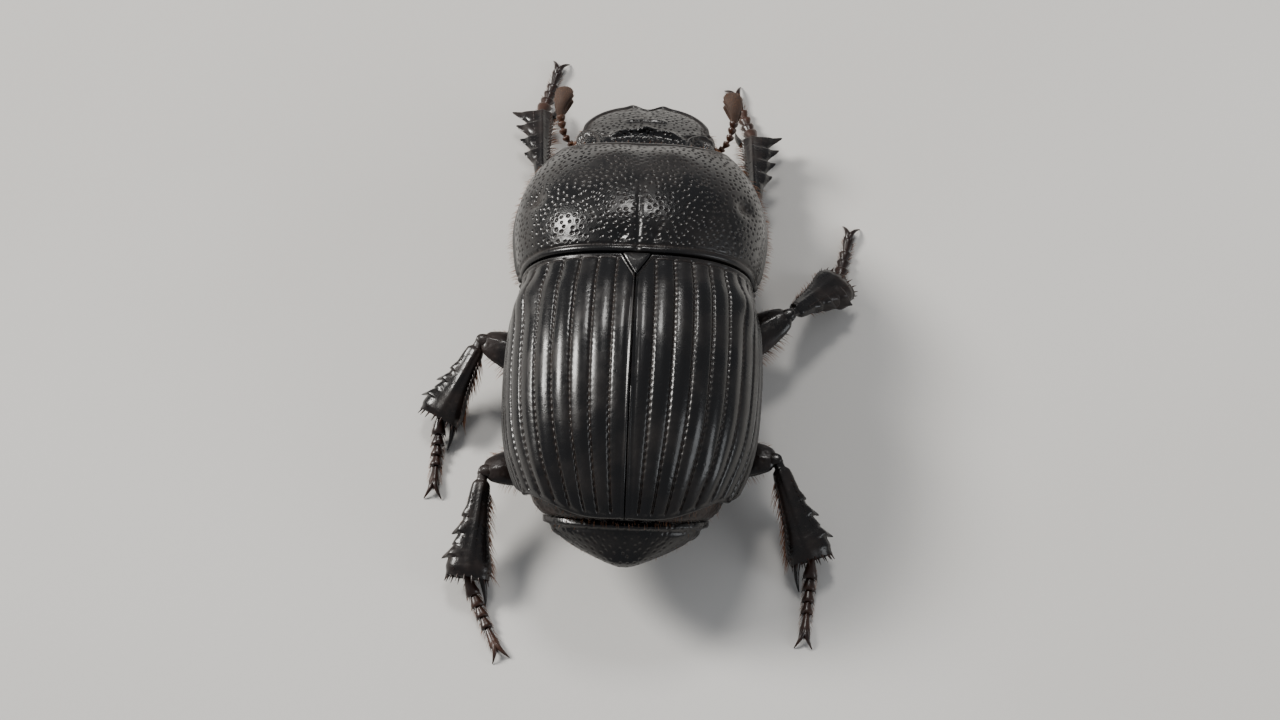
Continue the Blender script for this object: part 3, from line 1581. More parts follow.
@dataclass
class Head:
    """The shovel-shaped head: notched and upturned at the rim, with cheeks and low cross ridges."""

    centre: float = -10.5
    half_width: float = 4.0
    reach_front: float = 3.95
    reach_rear: float = 2.2
    rim_height: float = 5.0
    slope: float = 0.42
    crown: float = 1.8
    depth: float = 1.2
    thinning: float = 0.45
    squareness: float = 2.3
    rim_rounding: float = 2.6
    upturn: float = 0.34
    notch: Ridge = Ridge(-0.075, 0.15)
    front_teeth: Ridge = Ridge(0.045, 0.085, 0.22)
    cheek_nick: Ridge = Ridge(-0.025, 0.09, 1.22)
    cheek: Ridge = Ridge(0.02, 0.12, 1.42)
    brow: Ridge = Ridge(0.40, 0.26, -10.9)
    knob: Mound = Mound(0.26, 0.0, -10.95, 0.45)
    weal: Ridge = Ridge(0.16, 0.17, -12.35)
    cheek_line: Ridge = Ridge(-0.13, 0.12)
    inner_rim: Ridge = Ridge(-0.12, 0.035, 0.90)
    nape: Ridge = Ridge(-0.03, 0.4, -10.1)
    orbit: Ridge = Ridge(0.18, 0.20, 1.22)
    wrinkle_height: float = 0.009
    sides: int = 400
    rings_above: int = 110
    rings_beneath: int = 30
    eye_place: Place = (3.4, -9.85, 5.75)
    eye_radii: Place = (0.7, 0.95, 0.72)
    lens_size: float = 0.062
    lens_profile: Stops = ((-0.35, 0.54), (0.06, 0.5), (0.24, 0.28))
    pitting: Pitting = Pitting(0.27, 0.115, 0.045, 31)

    def outline(self, angle: Array) -> Array:
        """The head's reach in plan from its centre.

        Args:
            angle: -90 degrees is the front.

        Returns:
            The reach in millimetres.
        """
        length = np.where(np.sin(angle) < 0, self.reach_front, self.reach_rear)
        across = np.abs(np.cos(angle) / self.half_width) ** self.squareness
        lengthways = np.abs(np.sin(angle) / length) ** self.squareness
        reach = (across + lengthways) ** (-1 / self.squareness)
        off = np.abs((angle + math.pi / 2 + math.pi) % (2 * math.pi) - math.pi)
        waves = (self.notch, self.front_teeth, self.cheek_nick, self.cheek)
        return reach * (1 + sum(wave.rise(off) for wave in waves))

    def form(self) -> Form:
        """The shaped head before its pits.

        Returns:
            The form.
        """
        even = np.linspace(0.004, 1, self.rings_above)
        above = np.arccos(mix(even, np.sin(even * math.pi / 2), 0.45) ** 1.25)
        beneath = np.linspace(0, 0.06 - math.pi / 2, self.rings_beneath + 1)[1:]
        rise = np.concatenate([above, beneath])[:, None]
        angle = turns(self.sides, -math.pi)[None]
        upper, share = rise > 0, np.cos(rise)
        out = share**0.8 * self.outline(angle)
        x, y = out * np.cos(angle), out * np.sin(angle)
        swell = np.maximum(0, 1 - share**self.rim_rounding) ** (1 / self.rim_rounding)
        swell = swell * (1 - self.thinning * np.clip(-y / self.reach_front, 0, 1))
        ahead = step(-np.sin(angle), -0.35, 0.5)
        distance = self.centre + y
        relief, hollow = self.relief(x, distance, share, ahead)
        z = self.rim_height + self.slope * y + np.where(upper, self.crown, -self.depth) * swell
        z = z + self.upturn * share**16 * ahead + relief * upper
        pitted = np.where(upper, step(1 - share, 0.02, 0.10), 0.4 * step(1 - share, 0.05, 0.2))
        return Form.lofted(np.stack([x, distance, z], -1), {
            "pitted": pitted * mix(1.0, 0.7, step(-distance, 11.4, 12.6)),
            "hollow": hollow * upper,
        })

    def relief(self, x: Array, y: Array, share: Array, ahead: Array) -> tuple[Array, Array]:
        """The head's ridges and furrows.

        Args:
            x: Places across.
            y: Places along.
            share: How near the rim a point lies.
            ahead: 1 round the shield's front and 0 behind the cheeks.

        Returns:
            Heights in millimetres, and how hollow each place is.
        """
        wide, inward = np.abs(x), 1 - share
        place, radii = self.eye_place, self.eye_radii
        off_eye = np.hypot((wide - place[0]) / radii[0], (y - place[1]) / radii[1])
        cheek = self.cheek_line.share((wide - 2.3) * 0.62 + (y + 10.55))
        cheek = cheek * step(wide, 2.0, 2.5) * step(inward, 0.01, 0.06)
        rim = self.inner_rim.share(share) * ahead
        wrinkles = np.sin(y * 24 + 2.6 * np.sin(x * 2.3 + y) + 1.9 * np.sin(x * 6.1 + y * 4.0))
        relief = (
            self.brow.rise(y - 0.10 * x * x) * (1 - step(wide, 1.3, 2.4)) + self.knob.rise(x, y)
            + self.weal.rise(y - 0.12 * x * x) * (1 - step(wide, 0.8, 1.4))
            + self.cheek_line.height * cheek + self.inner_rim.height * rim
            + self.nape.rise(y) * (1 - step(wide, 1.8, 2.8)) + self.orbit.rise(off_eye)
            + self.wrinkle_height * wrinkles * step(-y, 11.8, 12.6) * step(inward, 0.06, 0.16)
        )
        return relief, np.maximum.reduce([cheek, rim * 0.7, bell(off_eye - 1.0, 0.12) * 0.7])

    def build(self, pits: Pits) -> None:
        """Makes, pits and enrols the head."""
        enrol(pits.pit(self.form(), "head_shield", SHELL, self.pitting), Slot.SHELL, "head")

    def build_eyes(self, set_out: SetOut) -> None:
        """Makes each eye as a mound covered in small six-sided lenses.

        Args:
            set_out: The tree that sets the lenses out.
        """
        bm = bmesh.new()
        bmesh.ops.create_icosphere(bm, subdivisions=5, radius=1)
        ball = Form.taken(bm)
        lens = template("lens_template", Form.spun(self.lens_profile, 6))
        for side, word in SIDES.items():
            points = ball.points * self.eye_radii + mirrored(self.eye_place, side)
            eye = guide(points, ball.points / self.eye_radii, self.lens_size, ball.faces)
            piece = eye.piece(f"eye_{word}_lenses", EYE)
            enrol(set_out.work(piece, EYE, Template=lens, Keep_Guide=True), Slot.EYE, f"eye_{word}")
        bpy.data.objects.remove(lens)


@dataclass
class Feelers:
    """The two feelers: a long first joint, small beads, and a fanned club of three velvety leaves."""

    route: tuple[Place, ...] = (
        (2.6, -10.95, 3.95), (3.3, -11.2, 3.6), (4.15, -11.5, 3.62), (4.8, -12.1, 4.0), (5.1, -13.2, 4.35),
    )
    scape_share: float = 0.50
    thread: float = 0.10
    beads: int = 5
    bead_radius: float = 0.24
    bead_profile: Stops = (
        (-0.62, 0.3), (-0.5, 0.5), (-0.1, 0.86), (0.25, 1.0), (0.45, 0.9), (0.55, 0.5),
    )
    club_root: Place = (5.1, -13.15, 4.36)
    leaf_length: float = 1.9
    leaf_half_width: float = 0.52
    leaf_thickness: float = 0.13
    leaves: int = 3
    fan: float = math.radians(13)
    splay: float = math.radians(-10)

    def leaf(self, lift: float, side: int) -> Array:
        """One cupped leaf of the club, narrow at its root and broad beyond its middle.

        Args:
            lift: Its place in the club, 0 in the middle.
            side: 1 on the left and -1 on the right.

        Returns:
            Its rings of points.
        """
        t = 0.5 - 0.5 * np.cos(np.linspace(0.12, math.pi - 0.06, 44))[:, None]
        half = self.leaf_half_width * (0.30 + 0.70 * np.sin(math.pi * t**1.25 * 0.62) ** 1.2)
        half = half * np.sqrt(np.clip((1 - t) / 0.16, 0, 1) ** 0.9)
        thick = self.leaf_thickness * (1 + 0.5 * (1 - t)) * np.minimum(1, half / self.leaf_half_width * 2)
        turn, bulge = turns(36), np.sin(math.pi * t)
        x = half * np.cos(turn) * side + 0.16 * side * bulge
        cup = 0.34 * (1 - (x / self.leaf_half_width) ** 2 * 0.8) * bulge
        z = thick * signed_power(np.sin(turn), 0.8) / 2 + cup * lift * 0.8 + 0.12 * lift
        rings = np.stack([x, np.broadcast_to(-self.leaf_length * t, x.shape), z], -1)
        turned = Matrix.Rotation(side * self.splay, 3, "Z") @ Matrix.Rotation(-lift * self.fan, 3, "X")
        return rings @ np.array(turned).T + mirrored(self.club_root, side)

    def leaf_lifts(self) -> list[float]:
        """Each leaf's place in the club, 0 in the middle."""
        return [n - (self.leaves - 1) / 2 for n in range(self.leaves)]

    def build(self, set_out: SetOut) -> None:
        """Makes and enrols both feelers.

        Args:
            set_out: The tree that sets the beads out.
        """
        bead = template("bead_template", Form.spun(self.bead_profile, 20))
        bead_sizes = mix(0.9, 1.25, np.arange(self.beads) / self.beads) * self.bead_radius
        cut = round(60 * self.scape_share)
        t = np.linspace(0, 60 / cut, 61)
        girth = mix(0.17 + 0.15 * step(t, 0.1, 0.9), self.thread, step(t, 0.95, 1.05))
        spots = np.linspace(cut + 2, 58, self.beads).round().astype(int)
        for side, word in SIDES.items():
            line = routed(mirrored(self.route, side), 61)
            way = np.gradient(line, axis=0)
            beads = guide(line[spots], way[spots], bead_sizes[:, None] * (1.0, 1.0, 1.35))
            beads = beads.piece(f"feeler_{word}_beads", STALK)
            enrol(set_out.work(beads, STALK, Template=bead, Keep_Guide=False), Slot.FEELER)
            stalk = tube(line, girth, 24).piece(f"feeler_{word}_stalk", STALK)
            enrol(stalk, Slot.FEELER, f"antenna_{word}")
            club = joined(Form.lofted(self.leaf(lift, side)) for lift in self.leaf_lifts())
            enrol(club.piece(f"feeler_{word}_club", CLUB), Slot.FEELER)
        bpy.data.objects.remove(bead)


@dataclass
class Mouth:
    """The lip plate beneath the head, with its two pairs of jointed palps."""

    lip_place: Place = (0.0, -11.2, 3.05)
    lip_radii: Place = (1.5, 1.2, 0.3)
    slope: float = 0.42
    notch: Ridge = Ridge(0.25, 0.3)
    keel: Ridge = Ridge(0.10, 0.16)
    palps: tuple[tuple[tuple[Place, ...], float], ...] = (
        (((0.95, -11.6, 2.95), (1.5, -12.4, 2.65), (1.75, -13.1, 2.6)), 0.24),
        (((0.45, -12.0, 2.7), (0.62, -12.5, 2.55), (0.66, -12.95, 2.55)), 0.15),
    )

    def build(self) -> None:
        """Makes and enrols the mouthparts."""
        lip = Form.ball((0, 0, 0), self.lip_radii, 56)
        x, y, z = lip.points.T
        notched = y + self.notch.rise(x) * step(-y, 0.5, 1.2)
        lip.points = np.column_stack([x * (1 + 0.12 * y), notched, z + self.keel.rise(x) * (z < 0)])
        tilt = Matrix.Rotation(math.atan(self.slope), 3, "X")
        lip.points = lip.points @ np.array(tilt).T + self.lip_place
        t = np.linspace(0, 3, 40)
        girth = 0.5 + 0.5 * np.sin(math.pi * np.clip(t % 1.0 * 0.8 + 0.15, 0, 1)) ** 0.6
        girth = girth * (1 - 0.75 * step(t, 2.75, 3.0))
        palps = [
            tube(routed(mirrored(route, side), 40), radius * girth, 18)
            for route, radius in self.palps for side in SIDES
        ]
        enrol(joined([lip, *palps]).piece("mouthparts_lip_and_palps", STALK), Slot.FEELER, "mouthparts")


# Legs


@dataclass(frozen=True)
class Limb:
    """A limb's own directions: to its outer side, up through its thickness and on along its length."""

    start: Array
    outer: Array
    upper: Array
    way: Array
    length: float

    @classmethod
    def between(cls, start: Array, end: Array, side: int) -> "Limb":
        """The limb from one joint to the next.

        Args:
            start: The joint nearer the body.
            end: The joint farther out.
            side: 1 on the left and -1 on the right.

        Returns:
            The limb.
        """
        way = unit(end - start)
        outer = unit(np.cross(way, UP))
        outer = outer if outer[0] * side > 0 else -outer
        upper = unit(np.cross(way, outer))
        upper = upper if upper[2] > 0 else -upper
        return cls(start, outer, upper, way, float(np.linalg.norm(end - start)))

    def at(self, out: Array | float, up: Array | float, on: Array | float) -> Array:
        """The point so far out, up and on, in millimetres."""
        out, up, on = (np.asarray(value, float)[..., None] for value in (out, up, on))
        return self.start + self.outer * out + self.upper * up + self.way * on

    def leaning(self, out: Array | float, up: Array | float, on: float) -> Array:
        """A direction with these shares outwards, upwards and onwards."""
        return self.at(out, up, on) - self.start

    def lofted(
        self, t: Array, outer: Array, inner: Array, thick: Array, *,
        square: float = 2.0, sides: int = 64, lean: float = 0.0, trunk: Array | None = None,
        ridge: float = 0.0,
    ) -> Form:
        """A limb from its widths.

        Args:
            t: The shares of the length that it is given at.
            outer: Its half width to the outer side at each.
            inner: Its half width to the inner side.
            thick: Its half thickness.
            square: The exponent of its section.
            sides: How many sides it has.
            lean: How far what stands out past the trunk leans on along the limb.
            trunk: The half width without teeth.
            ridge: The height of a ridge along its upper face.

        Returns:
            The form.
        """
        turn = turns(sides)[None]
        cos, sin = signed_power(np.cos(turn), 2 / square), signed_power(np.sin(turn), 2 / square)
        out = np.where(cos > 0, outer[:, None], inner[:, None]) * cos
        up = thick[:, None] * sin
        up = up + ridge * bell(out + 0.1, 0.14) * (sin > 0) * step(thick, 0.1, 0.3)[:, None]
        past = np.maximum(0, out - (outer if trunk is None else trunk)[:, None])
        up = up * (1 - 0.72 * step(past, 0.0, 0.4))
        return Form.lofted(self.at(out, up, t[:, None] * self.length + lean * past))


def rounded_ends(t: Array, share: float) -> Array:
    """Closes a limb's two ends like a ball, over a share of its length."""
    near = np.clip(np.minimum(t, 1 - t) / share, 0, 1)
    return np.sqrt(np.maximum(1 - (1 - near) ** 2, 0.0004))


@dataclass
class Leg:
    """A middle or hind leg: hip ring and thigh, toothed shin, spurs, five foot segments, two claws."""

    pair: Pair
    side: int
    hip: Place
    knee: Place
    ankle: Place
    toe: Place
    thigh: Curve = Curve(
        ((0, 0.45), (0.05, 0.75), (0.25, 1.2), (0.55, 1.35), (0.8, 1.05), (0.94, 0.72), (1, 0.4)), 0.02
    )
    thigh_flatness: float = 0.48
    thigh_pitting: Pitting = Pitting(0.42, 0.13, 0.035, 41)
    knee_clearance: float = 0.46
    knee_lobe: Place = (0.38, 0.17, 0.55)
    hip_ring: Place = (0.82, 0.52, 0.95)
    shin: Curve = Curve(((0, 0.3), (0.04, 0.5), (0.3, 0.66), (0.6, 0.9), (0.9, 1.3), (1.0, 1.14)), 0.02)
    shin_flatness: float = 0.62
    shin_teeth: Stops = ((0.36, 0.16), (0.53, 0.42), (0.66, 0.16), (0.78, 0.46))
    shin_pitting: Pitting = Pitting(0.4, 0.11, 0.03, 42)
    spurs: tuple[float, ...] = (1.7,)
    spine_rows: int = 15
    spine_inset: float = 1.0
    end_spines: int = 17
    bristle_inset: float = 0.95
    segments: tuple[Place, ...] = (
        (0.00, 0.28, 1.0), (0.28, 0.46, 0.94), (0.46, 0.62, 0.88), (0.62, 0.77, 0.84), (0.77, 1.0, 0.74),
    )
    segment_radius: float = 0.41
    foot_height: float = 0.301
    claw_length: float = 1.25
    claw_radius: float = 0.2
    claw_spread: float = math.radians(24)

    @property
    def name(self) -> str:
        """The leg's name, such as fore_left."""
        return f"{self.pair.value}_{SIDES[self.side]}"

    def thigh_limb(self) -> Limb:
        """The thigh's directions."""
        return Limb.between(np.array(self.hip), np.array(self.knee), self.side)

    def shin_limb(self) -> Limb:
        """The shin's directions, from just past the knee."""
        knee, ankle = np.array(self.knee), np.array(self.ankle)
        return Limb.between(knee + unit(ankle - knee) * self.knee_clearance, ankle, self.side)

    def thigh_form(self) -> Form:
        """The thigh, with the hip ring at its root and the knee's rounded end.

        Returns:
            The form.
        """
        limb = self.thigh_limb()
        t = eased_rows(70, 0.9)
        width = self.thigh(t) * rounded_ends(t, 0.07)
        body = limb.lofted(
            t, width, width * 0.94, width * self.thigh_flatness, square=1.85, sides=72, ridge=0.03
        )
        turn = np.column_stack([limb.outer, limb.upper, limb.way])
        hip_ring = Form.ball(limb.at(-0.15, -0.05, 0.45), self.hip_ring, 40, turn)
        _, mound, radii = HIPS[self.pair]
        share = np.linspace(0, 1, 24)[:, None]
        line = mix(limb.at(0, 0, 0.3), mirrored(mound, self.side), share)
        line = line + limb.way * 0.2 * np.sin(math.pi * share)
        neck = tube(line, mix(0.66, 0.95 * min(radii[:2]), step(share[:, 0], 0.0, 0.8)), 40)
        lobes = [
            Form.ball(limb.at(0, up, limb.length - 0.24), self.knee_lobe, 28, turn) for up in (0.17, -0.17)
        ]
        return joined([body.marked("pitted", 0.8), hip_ring, neck, *lobes])

    def shin_half(self, t: Array) -> Array:
        """The shin's half width without its teeth."""
        return self.shin(t)

    def shin_tall(self, t: Array) -> Array:
        """Its half thickness."""
        return self.shin(t) * self.shin_flatness

    def shin_body(self, limb: Limb) -> Form:
        """The shin: widening to a cupped end, with teeth outside.

        Args:
            limb: The shin's directions.

        Returns:
            The form.
        """
        t = np.concatenate([np.linspace(-0.09, 0.0, 8), np.linspace(0.01, 1.0, 132)])
        trunk = self.shin(np.maximum(t, 0)) * (0.86 + 0.14 * step(t, -0.06, 0.05))
        flare = 0.10 * bell(t - 1.0, 0.03)
        teeth = sum(
            height * window(t, at - 0.10, at, at + 0.002, at + 0.045) for at, height in self.shin_teeth
        )
        ends = np.append(np.ones(len(t)), [0.86, 0.45])
        t, trunk = np.append(t, [0.985, 0.955]), np.append(trunk, [trunk[-1]] * 2)
        flare, teeth = np.append(flare, [0.0, 0.0]), np.append(teeth, [0.0, 0.0])
        return limb.lofted(
            t, (trunk + teeth + flare) * ends, (trunk + flare) * ends, trunk * self.shin_flatness * ends,
            square=2.5, lean=0.7, trunk=trunk * ends, ridge=0.07,
        )

    def shin_form(self) -> Form:
        """The shin with the movable spurs at its end.

        Returns:
            The form.
        """
        limb = self.shin_limb()
        parts = [self.shin_body(limb).marked("pitted", 0.5)]
        for n, length in enumerate(self.spurs):
            root = limb.at(-0.70 + 0.5 * n, -0.15, limb.length - 0.35)
            way = unit(limb.leaning(-(0.28 - 0.2 * n), -0.12, 1.0))
            parts.append(Form.horn(root, root + way * (length + 0.2), 0.22, limb.outer * -0.10, 14))
        return joined(parts)

    def foot_line(self, t: Array | float) -> Array:
        """Points along the foot, which drops from the ankle to lie along the floor.

        Args:
            t: The shares of its length.

        Returns:
            The points.
        """
        ankle, toe = np.array(self.ankle), np.array(self.toe)
        ankle = ankle - unit(toe - ankle) * 0.05
        toe[2] = self.foot_height
        knuckle = mix(ankle, toe, 0.35)
        knuckle[2] = self.foot_height
        t = np.asarray(t, float)[..., None]
        return ankle * (1 - t) ** 2 + knuckle * 2 * t * (1 - t) + toe * t * t

    def foot_guide(self) -> Form:
        """Where each foot segment starts, which way it goes and its size.

        Returns:
            The guide.
        """
        starts, ends, sizes = np.array(self.segments).T
        first, last = self.foot_line(starts), self.foot_line(ends)
        width = self.segment_radius * sizes
        length = np.linalg.norm(last - first, axis=1)
        return guide(first, last - first, np.column_stack([width, width * 0.80, length]))

    def claws(self) -> Form:
        """The two claws and the small pad between them.

        Returns:
            The form.
        """
        end = self.foot_line(1.0)
        level = unit((end - self.foot_line(0.9)) * (1, 1, 0))
        parts = []
        for turn in (self.claw_spread, -self.claw_spread):
            way = np.array(Matrix.Rotation(turn, 3, "Z")) @ level
            root = end - level * 0.22
            tip = root + way * self.claw_length
            tip[2] = 0.05
            bend = UP * 0.24 + np.cross(way, UP) * math.copysign(0.10, turn)
            parts.append(Form.horn(root, tip, self.claw_radius, bend, 14))
        parts.append(Form.horn(end - level * 0.1, end + level * 0.5, 0.09, (0, 0, 0), 8))
        return joined(parts)

    def spine_guide(self) -> Form:
        """Where the small stout spines of the shin stand.

        Returns:
            The guide.
        """
        limb = self.shin_limb()
        out, up, size = np.array(((-0.86, 0.45, 0.34), (-0.9, -0.4, 0.34), (0.55, 0.82, 0.26))).T
        t = (0.16 + 0.054 * np.arange(self.spine_rows))[:, None]
        half, tall = self.shin_half(t) * self.spine_inset, self.shin_tall(t) * 0.95
        rows = guide(
            limb.at(out * half, up * tall, t * limb.length).reshape(-1, 3),
            np.tile(limb.leaning(out, up, 1.2), (self.spine_rows, 1)),
            np.tile(size, self.spine_rows)[:, None],
        )
        half = (float(self.shin(1.0)) + 0.05) * 0.95
        out, up = np.cos(turns(self.end_spines)), np.sin(turns(self.end_spines))
        places = limb.at(out * half, up * half * self.shin_flatness, limb.length - 0.08)
        return joined([rows, guide(places, limb.leaning(out * 0.35, up * 0.3, 1.0), 0.46)])

    def build(self, pits: Pits, set_out: SetOut, segment: Piece) -> None:
        """Makes and enrols the thigh, the shin and the foot.

        Args:
            pits: The tree that pits thigh and shin.
            set_out: The tree that sets the foot's segments out.
            segment: One foot segment of unit size.
        """
        thigh = pits.pit(self.thigh_form(), f"thigh_{self.name}", LIMB, self.thigh_pitting)
        enrol(thigh, Slot.LEG, f"femur_{self.name}")
        shin = pits.pit(self.shin_form(), f"shin_{self.name}", LIMB, self.shin_pitting)
        enrol(shin, Slot.LEG, f"tibia_{self.name}")
        foot = self.foot_guide().piece(f"foot_{self.name}", FOOT)
        set_out.work(foot, FOOT, Template=segment, Keep_Guide=False)
        enrol(foot, Slot.FOOT, f"tarsus_{self.name}")
        enrol(self.claws().piece(f"claws_{self.name}", FOOT), Slot.FOOT)


@dataclass
class ForeLeg(Leg):
    """A fore leg. Its shin is a flat digging blade with four strong teeth outside."""

    spurs: tuple[float, ...] = (1.15,)
    spine_inset: float = 0.7
    end_spines: int = 0
    bristle_inset: float = 0.75
    blade_teeth: int = 4
    blade_pitch: float = 0.21
    blade_tooth: float = 0.85
    blade_root: float = 0.42
    blade_tip: float = 1.0
    blade_thickness: float = 0.85

    def shin_half(self, t: Array) -> Array:
        """The blade's half width without its teeth."""
        return mix(self.blade_root, self.blade_tip, t)

    def shin_tall(self, t: Array) -> Array:
        """Its usual half thickness."""
        return np.full(t.shape, self.blade_thickness / 2 * 0.8)

    def shin_body(self, limb: Limb) -> Form:
        """The digging blade.

        Args:
            limb: The shin's directions.

        Returns:
            The form.
        """
        t = np.concatenate([np.linspace(-0.07, 0.0, 6), np.linspace(0.006, 1.0, 200)])
        held = np.clip(t, 0, 1)
        trunk = self.shin_half(held) * (0.8 + 0.2 * step(t, -0.03, 0.05)) * 0.86
        teeth = np.zeros(len(t))
        for n in range(self.blade_teeth):
            at = 1.0 - self.blade_pitch * (self.blade_teeth - 1 - n) - 0.01
            height = self.blade_tooth * mix(0.55, 1.0, n / (self.blade_teeth - 1))
            rise = np.clip((t - at + self.blade_pitch * 0.78) / (self.blade_pitch * 0.70), 0, 1)
            fall = 1 - step(t, at - 0.012, at + 0.028)
            teeth = np.maximum(teeth, height * np.sin(rise * math.pi / 2) ** 1.7 * fall)
        close = np.sqrt(np.clip(1 - np.clip((t - 0.965) / 0.04, 0, 1) ** 2, 0.01, 1))
        inner = mix(self.blade_root * 0.8, self.blade_tip * 0.75, held)
        thick = self.blade_thickness / 2 * (0.75 + 0.25 * step(t, 0.0, 0.2)) * (1 - 0.25 * step(t, 0.7, 1.0))
        return limb.lofted(
            t, trunk * close + teeth, inner * close, thick * close, square=1.75, sides=72, lean=0.30,
            trunk=trunk, ridge=0.10,
        )


def segment_template() -> Piece:
    """One foot segment of unit size: slim at its root, spread at its end, with four short spines.

    Returns:
        The template.
    """
    height, radius = np.array((
        (-0.10, 0.30), (0.0, 0.42), (0.12, 0.50), (0.35, 0.66), (0.6, 0.86), (0.8, 1.0), (0.93, 0.99),
        (1.02, 0.86), (1.05, 0.6), (1.03, 0.3),
    )).T[..., None]
    cos, sin = np.cos(turns(28)), np.sin(turns(28))
    lobed = height + 0.10 * np.abs(cos) * (radius > 0.8)
    parts = [Form.lofted(np.stack([cos * radius, sin * radius * 0.92, lobed], -1))]
    for x, y in ((0.8, -0.45), (-0.8, -0.45), (0.45, -0.8), (-0.45, -0.8)):
        root = np.array([x, y, 0.85])
        parts.append(Form.horn(root, root + (x * 0.35, y * 0.12, 0.42), 0.11, (0, 0, 0), 6))
    return template("foot_segment_template", joined(parts))


def spine_template() -> Piece:
    """One short stout spine of unit length, curved a little."""
    return template("spine_template", Form.horn(UP * -0.12, UP, 0.13, (0, 0.05, 0), 6))


LEGS = (
    ForeLeg(Pair.FORE, 1, (2.6, -6.0, 2.2), (6.05, -9.4, 3.1), (6.45, -15.4, 1.25), (5.65, -18.9, 0.3)),
    ForeLeg(Pair.FORE, -1, (-2.6, -5.8, 2.2), (-6.6, -8.4, 3.1), (-6.3, -14.1, 1.25), (-5.2, -17.5, 0.3)),
    Leg(
        Pair.MIDDLE, 1, (3.85, 2.8, 2.2), (8.9, 1.6, 3.3), (11.1, 5.6, 1.1), (11.2, 9.4, 0.3),
        spurs=(1.7, 1.15),
    ),
    Leg(
        Pair.MIDDLE, -1, (-3.85, 2.0, 2.2), (-8.8, -0.9, 3.3), (-11.5, -4.3, 1.1), (-12.1, -8.0, 0.3),
        spurs=(1.7, 1.15),
    ),
    Leg(Pair.HIND, 1, (3.05, 8.6, 2.1), (8.25, 10.2, 3.3), (8.85, 15.9, 1.2), (7.1, 19.6, 0.3)),
    Leg(Pair.HIND, -1, (-3.05, 8.2, 2.1), (-8.35, 8.7, 3.3), (-10.5, 13.9, 1.2), (-10.25, 18.0, 0.3)),
)


# Bristles


DROOP: Place = (0.0, 0.35, -1.0)


@dataclass
class Bed:
    """A patch of skin that bristles grow from."""

    grid: Array
    lie: Array
    reach: Array | float
    curl: Place = DROOP

    @classmethod
    def along(
        cls, line: Array, breadth: float, aside: Array, lie: Array, reach: Array | float, curl: Place = DROOP
    ) -> "Bed":
        """A narrow bed along a line.

        Args:
            line: The points of its middle.
            breadth: Its width in millimetres.
            aside: The direction across it.
            lie: Which way its bristles point.
            reach: How long they are.
            curl: Which way they bend.

        Returns:
            The bed.
        """
        half = unit(np.broadcast_to(aside, line.shape)) * breadth / 2
        lie = np.broadcast_to(lie, line.shape)[:, None]
        reach = np.broadcast_to(reach, len(line))[:, None]
        return cls(np.stack([line - half, line + half], 1), lie, reach, curl)

    def form(self, band: int, bands: int) -> Form:
        """The bed as skin.

        Args:
            band: Which band of the unwrap is its own.
            bands: How many bands the unwrap has.

        Returns:
            The form, with what its bristles follow kept at its points.
        """
        shape = self.grid.shape
        rows, columns = shape[:2]
        u, v = np.meshgrid(np.linspace(0.01, 0.99, rows), np.linspace(0.1, 0.9, columns), indexing="ij")
        return Form(self.grid.reshape(-1, 3), quads(np.arange(rows * columns).reshape(rows, columns)), {
            "bed_map": np.stack([u, (band + v) / bands, 0 * u], -1).reshape(-1, 3),
            "lie": unit(np.broadcast_to(self.lie, shape)).reshape(-1, 3),
            "curl": np.broadcast_to(self.curl, shape).reshape(-1, 3),
            "reach": np.broadcast_to(np.asarray(self.reach) * MM, shape[:2]).reshape(-1),
        })


@dataclass
class Fringe:
    """One piece of bristles, grown from several beds."""

    name: str
    density: float
    beds: list[Bed]
    slenderness: float = 0.032
    unruliness: float = 0.22
    seed: int = 1

    def build(self, coat: Coat) -> None:
        """Grows and enrols the bristles.

        Args:
            coat: The tree that grows them.
        """
        skin = joined(bed.form(n, len(self.beds)) for n, bed in enumerate(self.beds))
        piece = coat.work(
            skin.piece(self.name, BRISTLE), BRISTLE, Density=self.density / MM**2,
            Slenderness=self.slenderness, Unruliness=self.unruliness, Seed=self.seed,
        )
        for spent in ("bed_map", "lie", "curl", "reach", "patch"):
            if spent in piece.data.attributes:
                piece.data.attributes.remove(piece.data.attributes[spent])
        enrol(piece, Slot.FEELER)


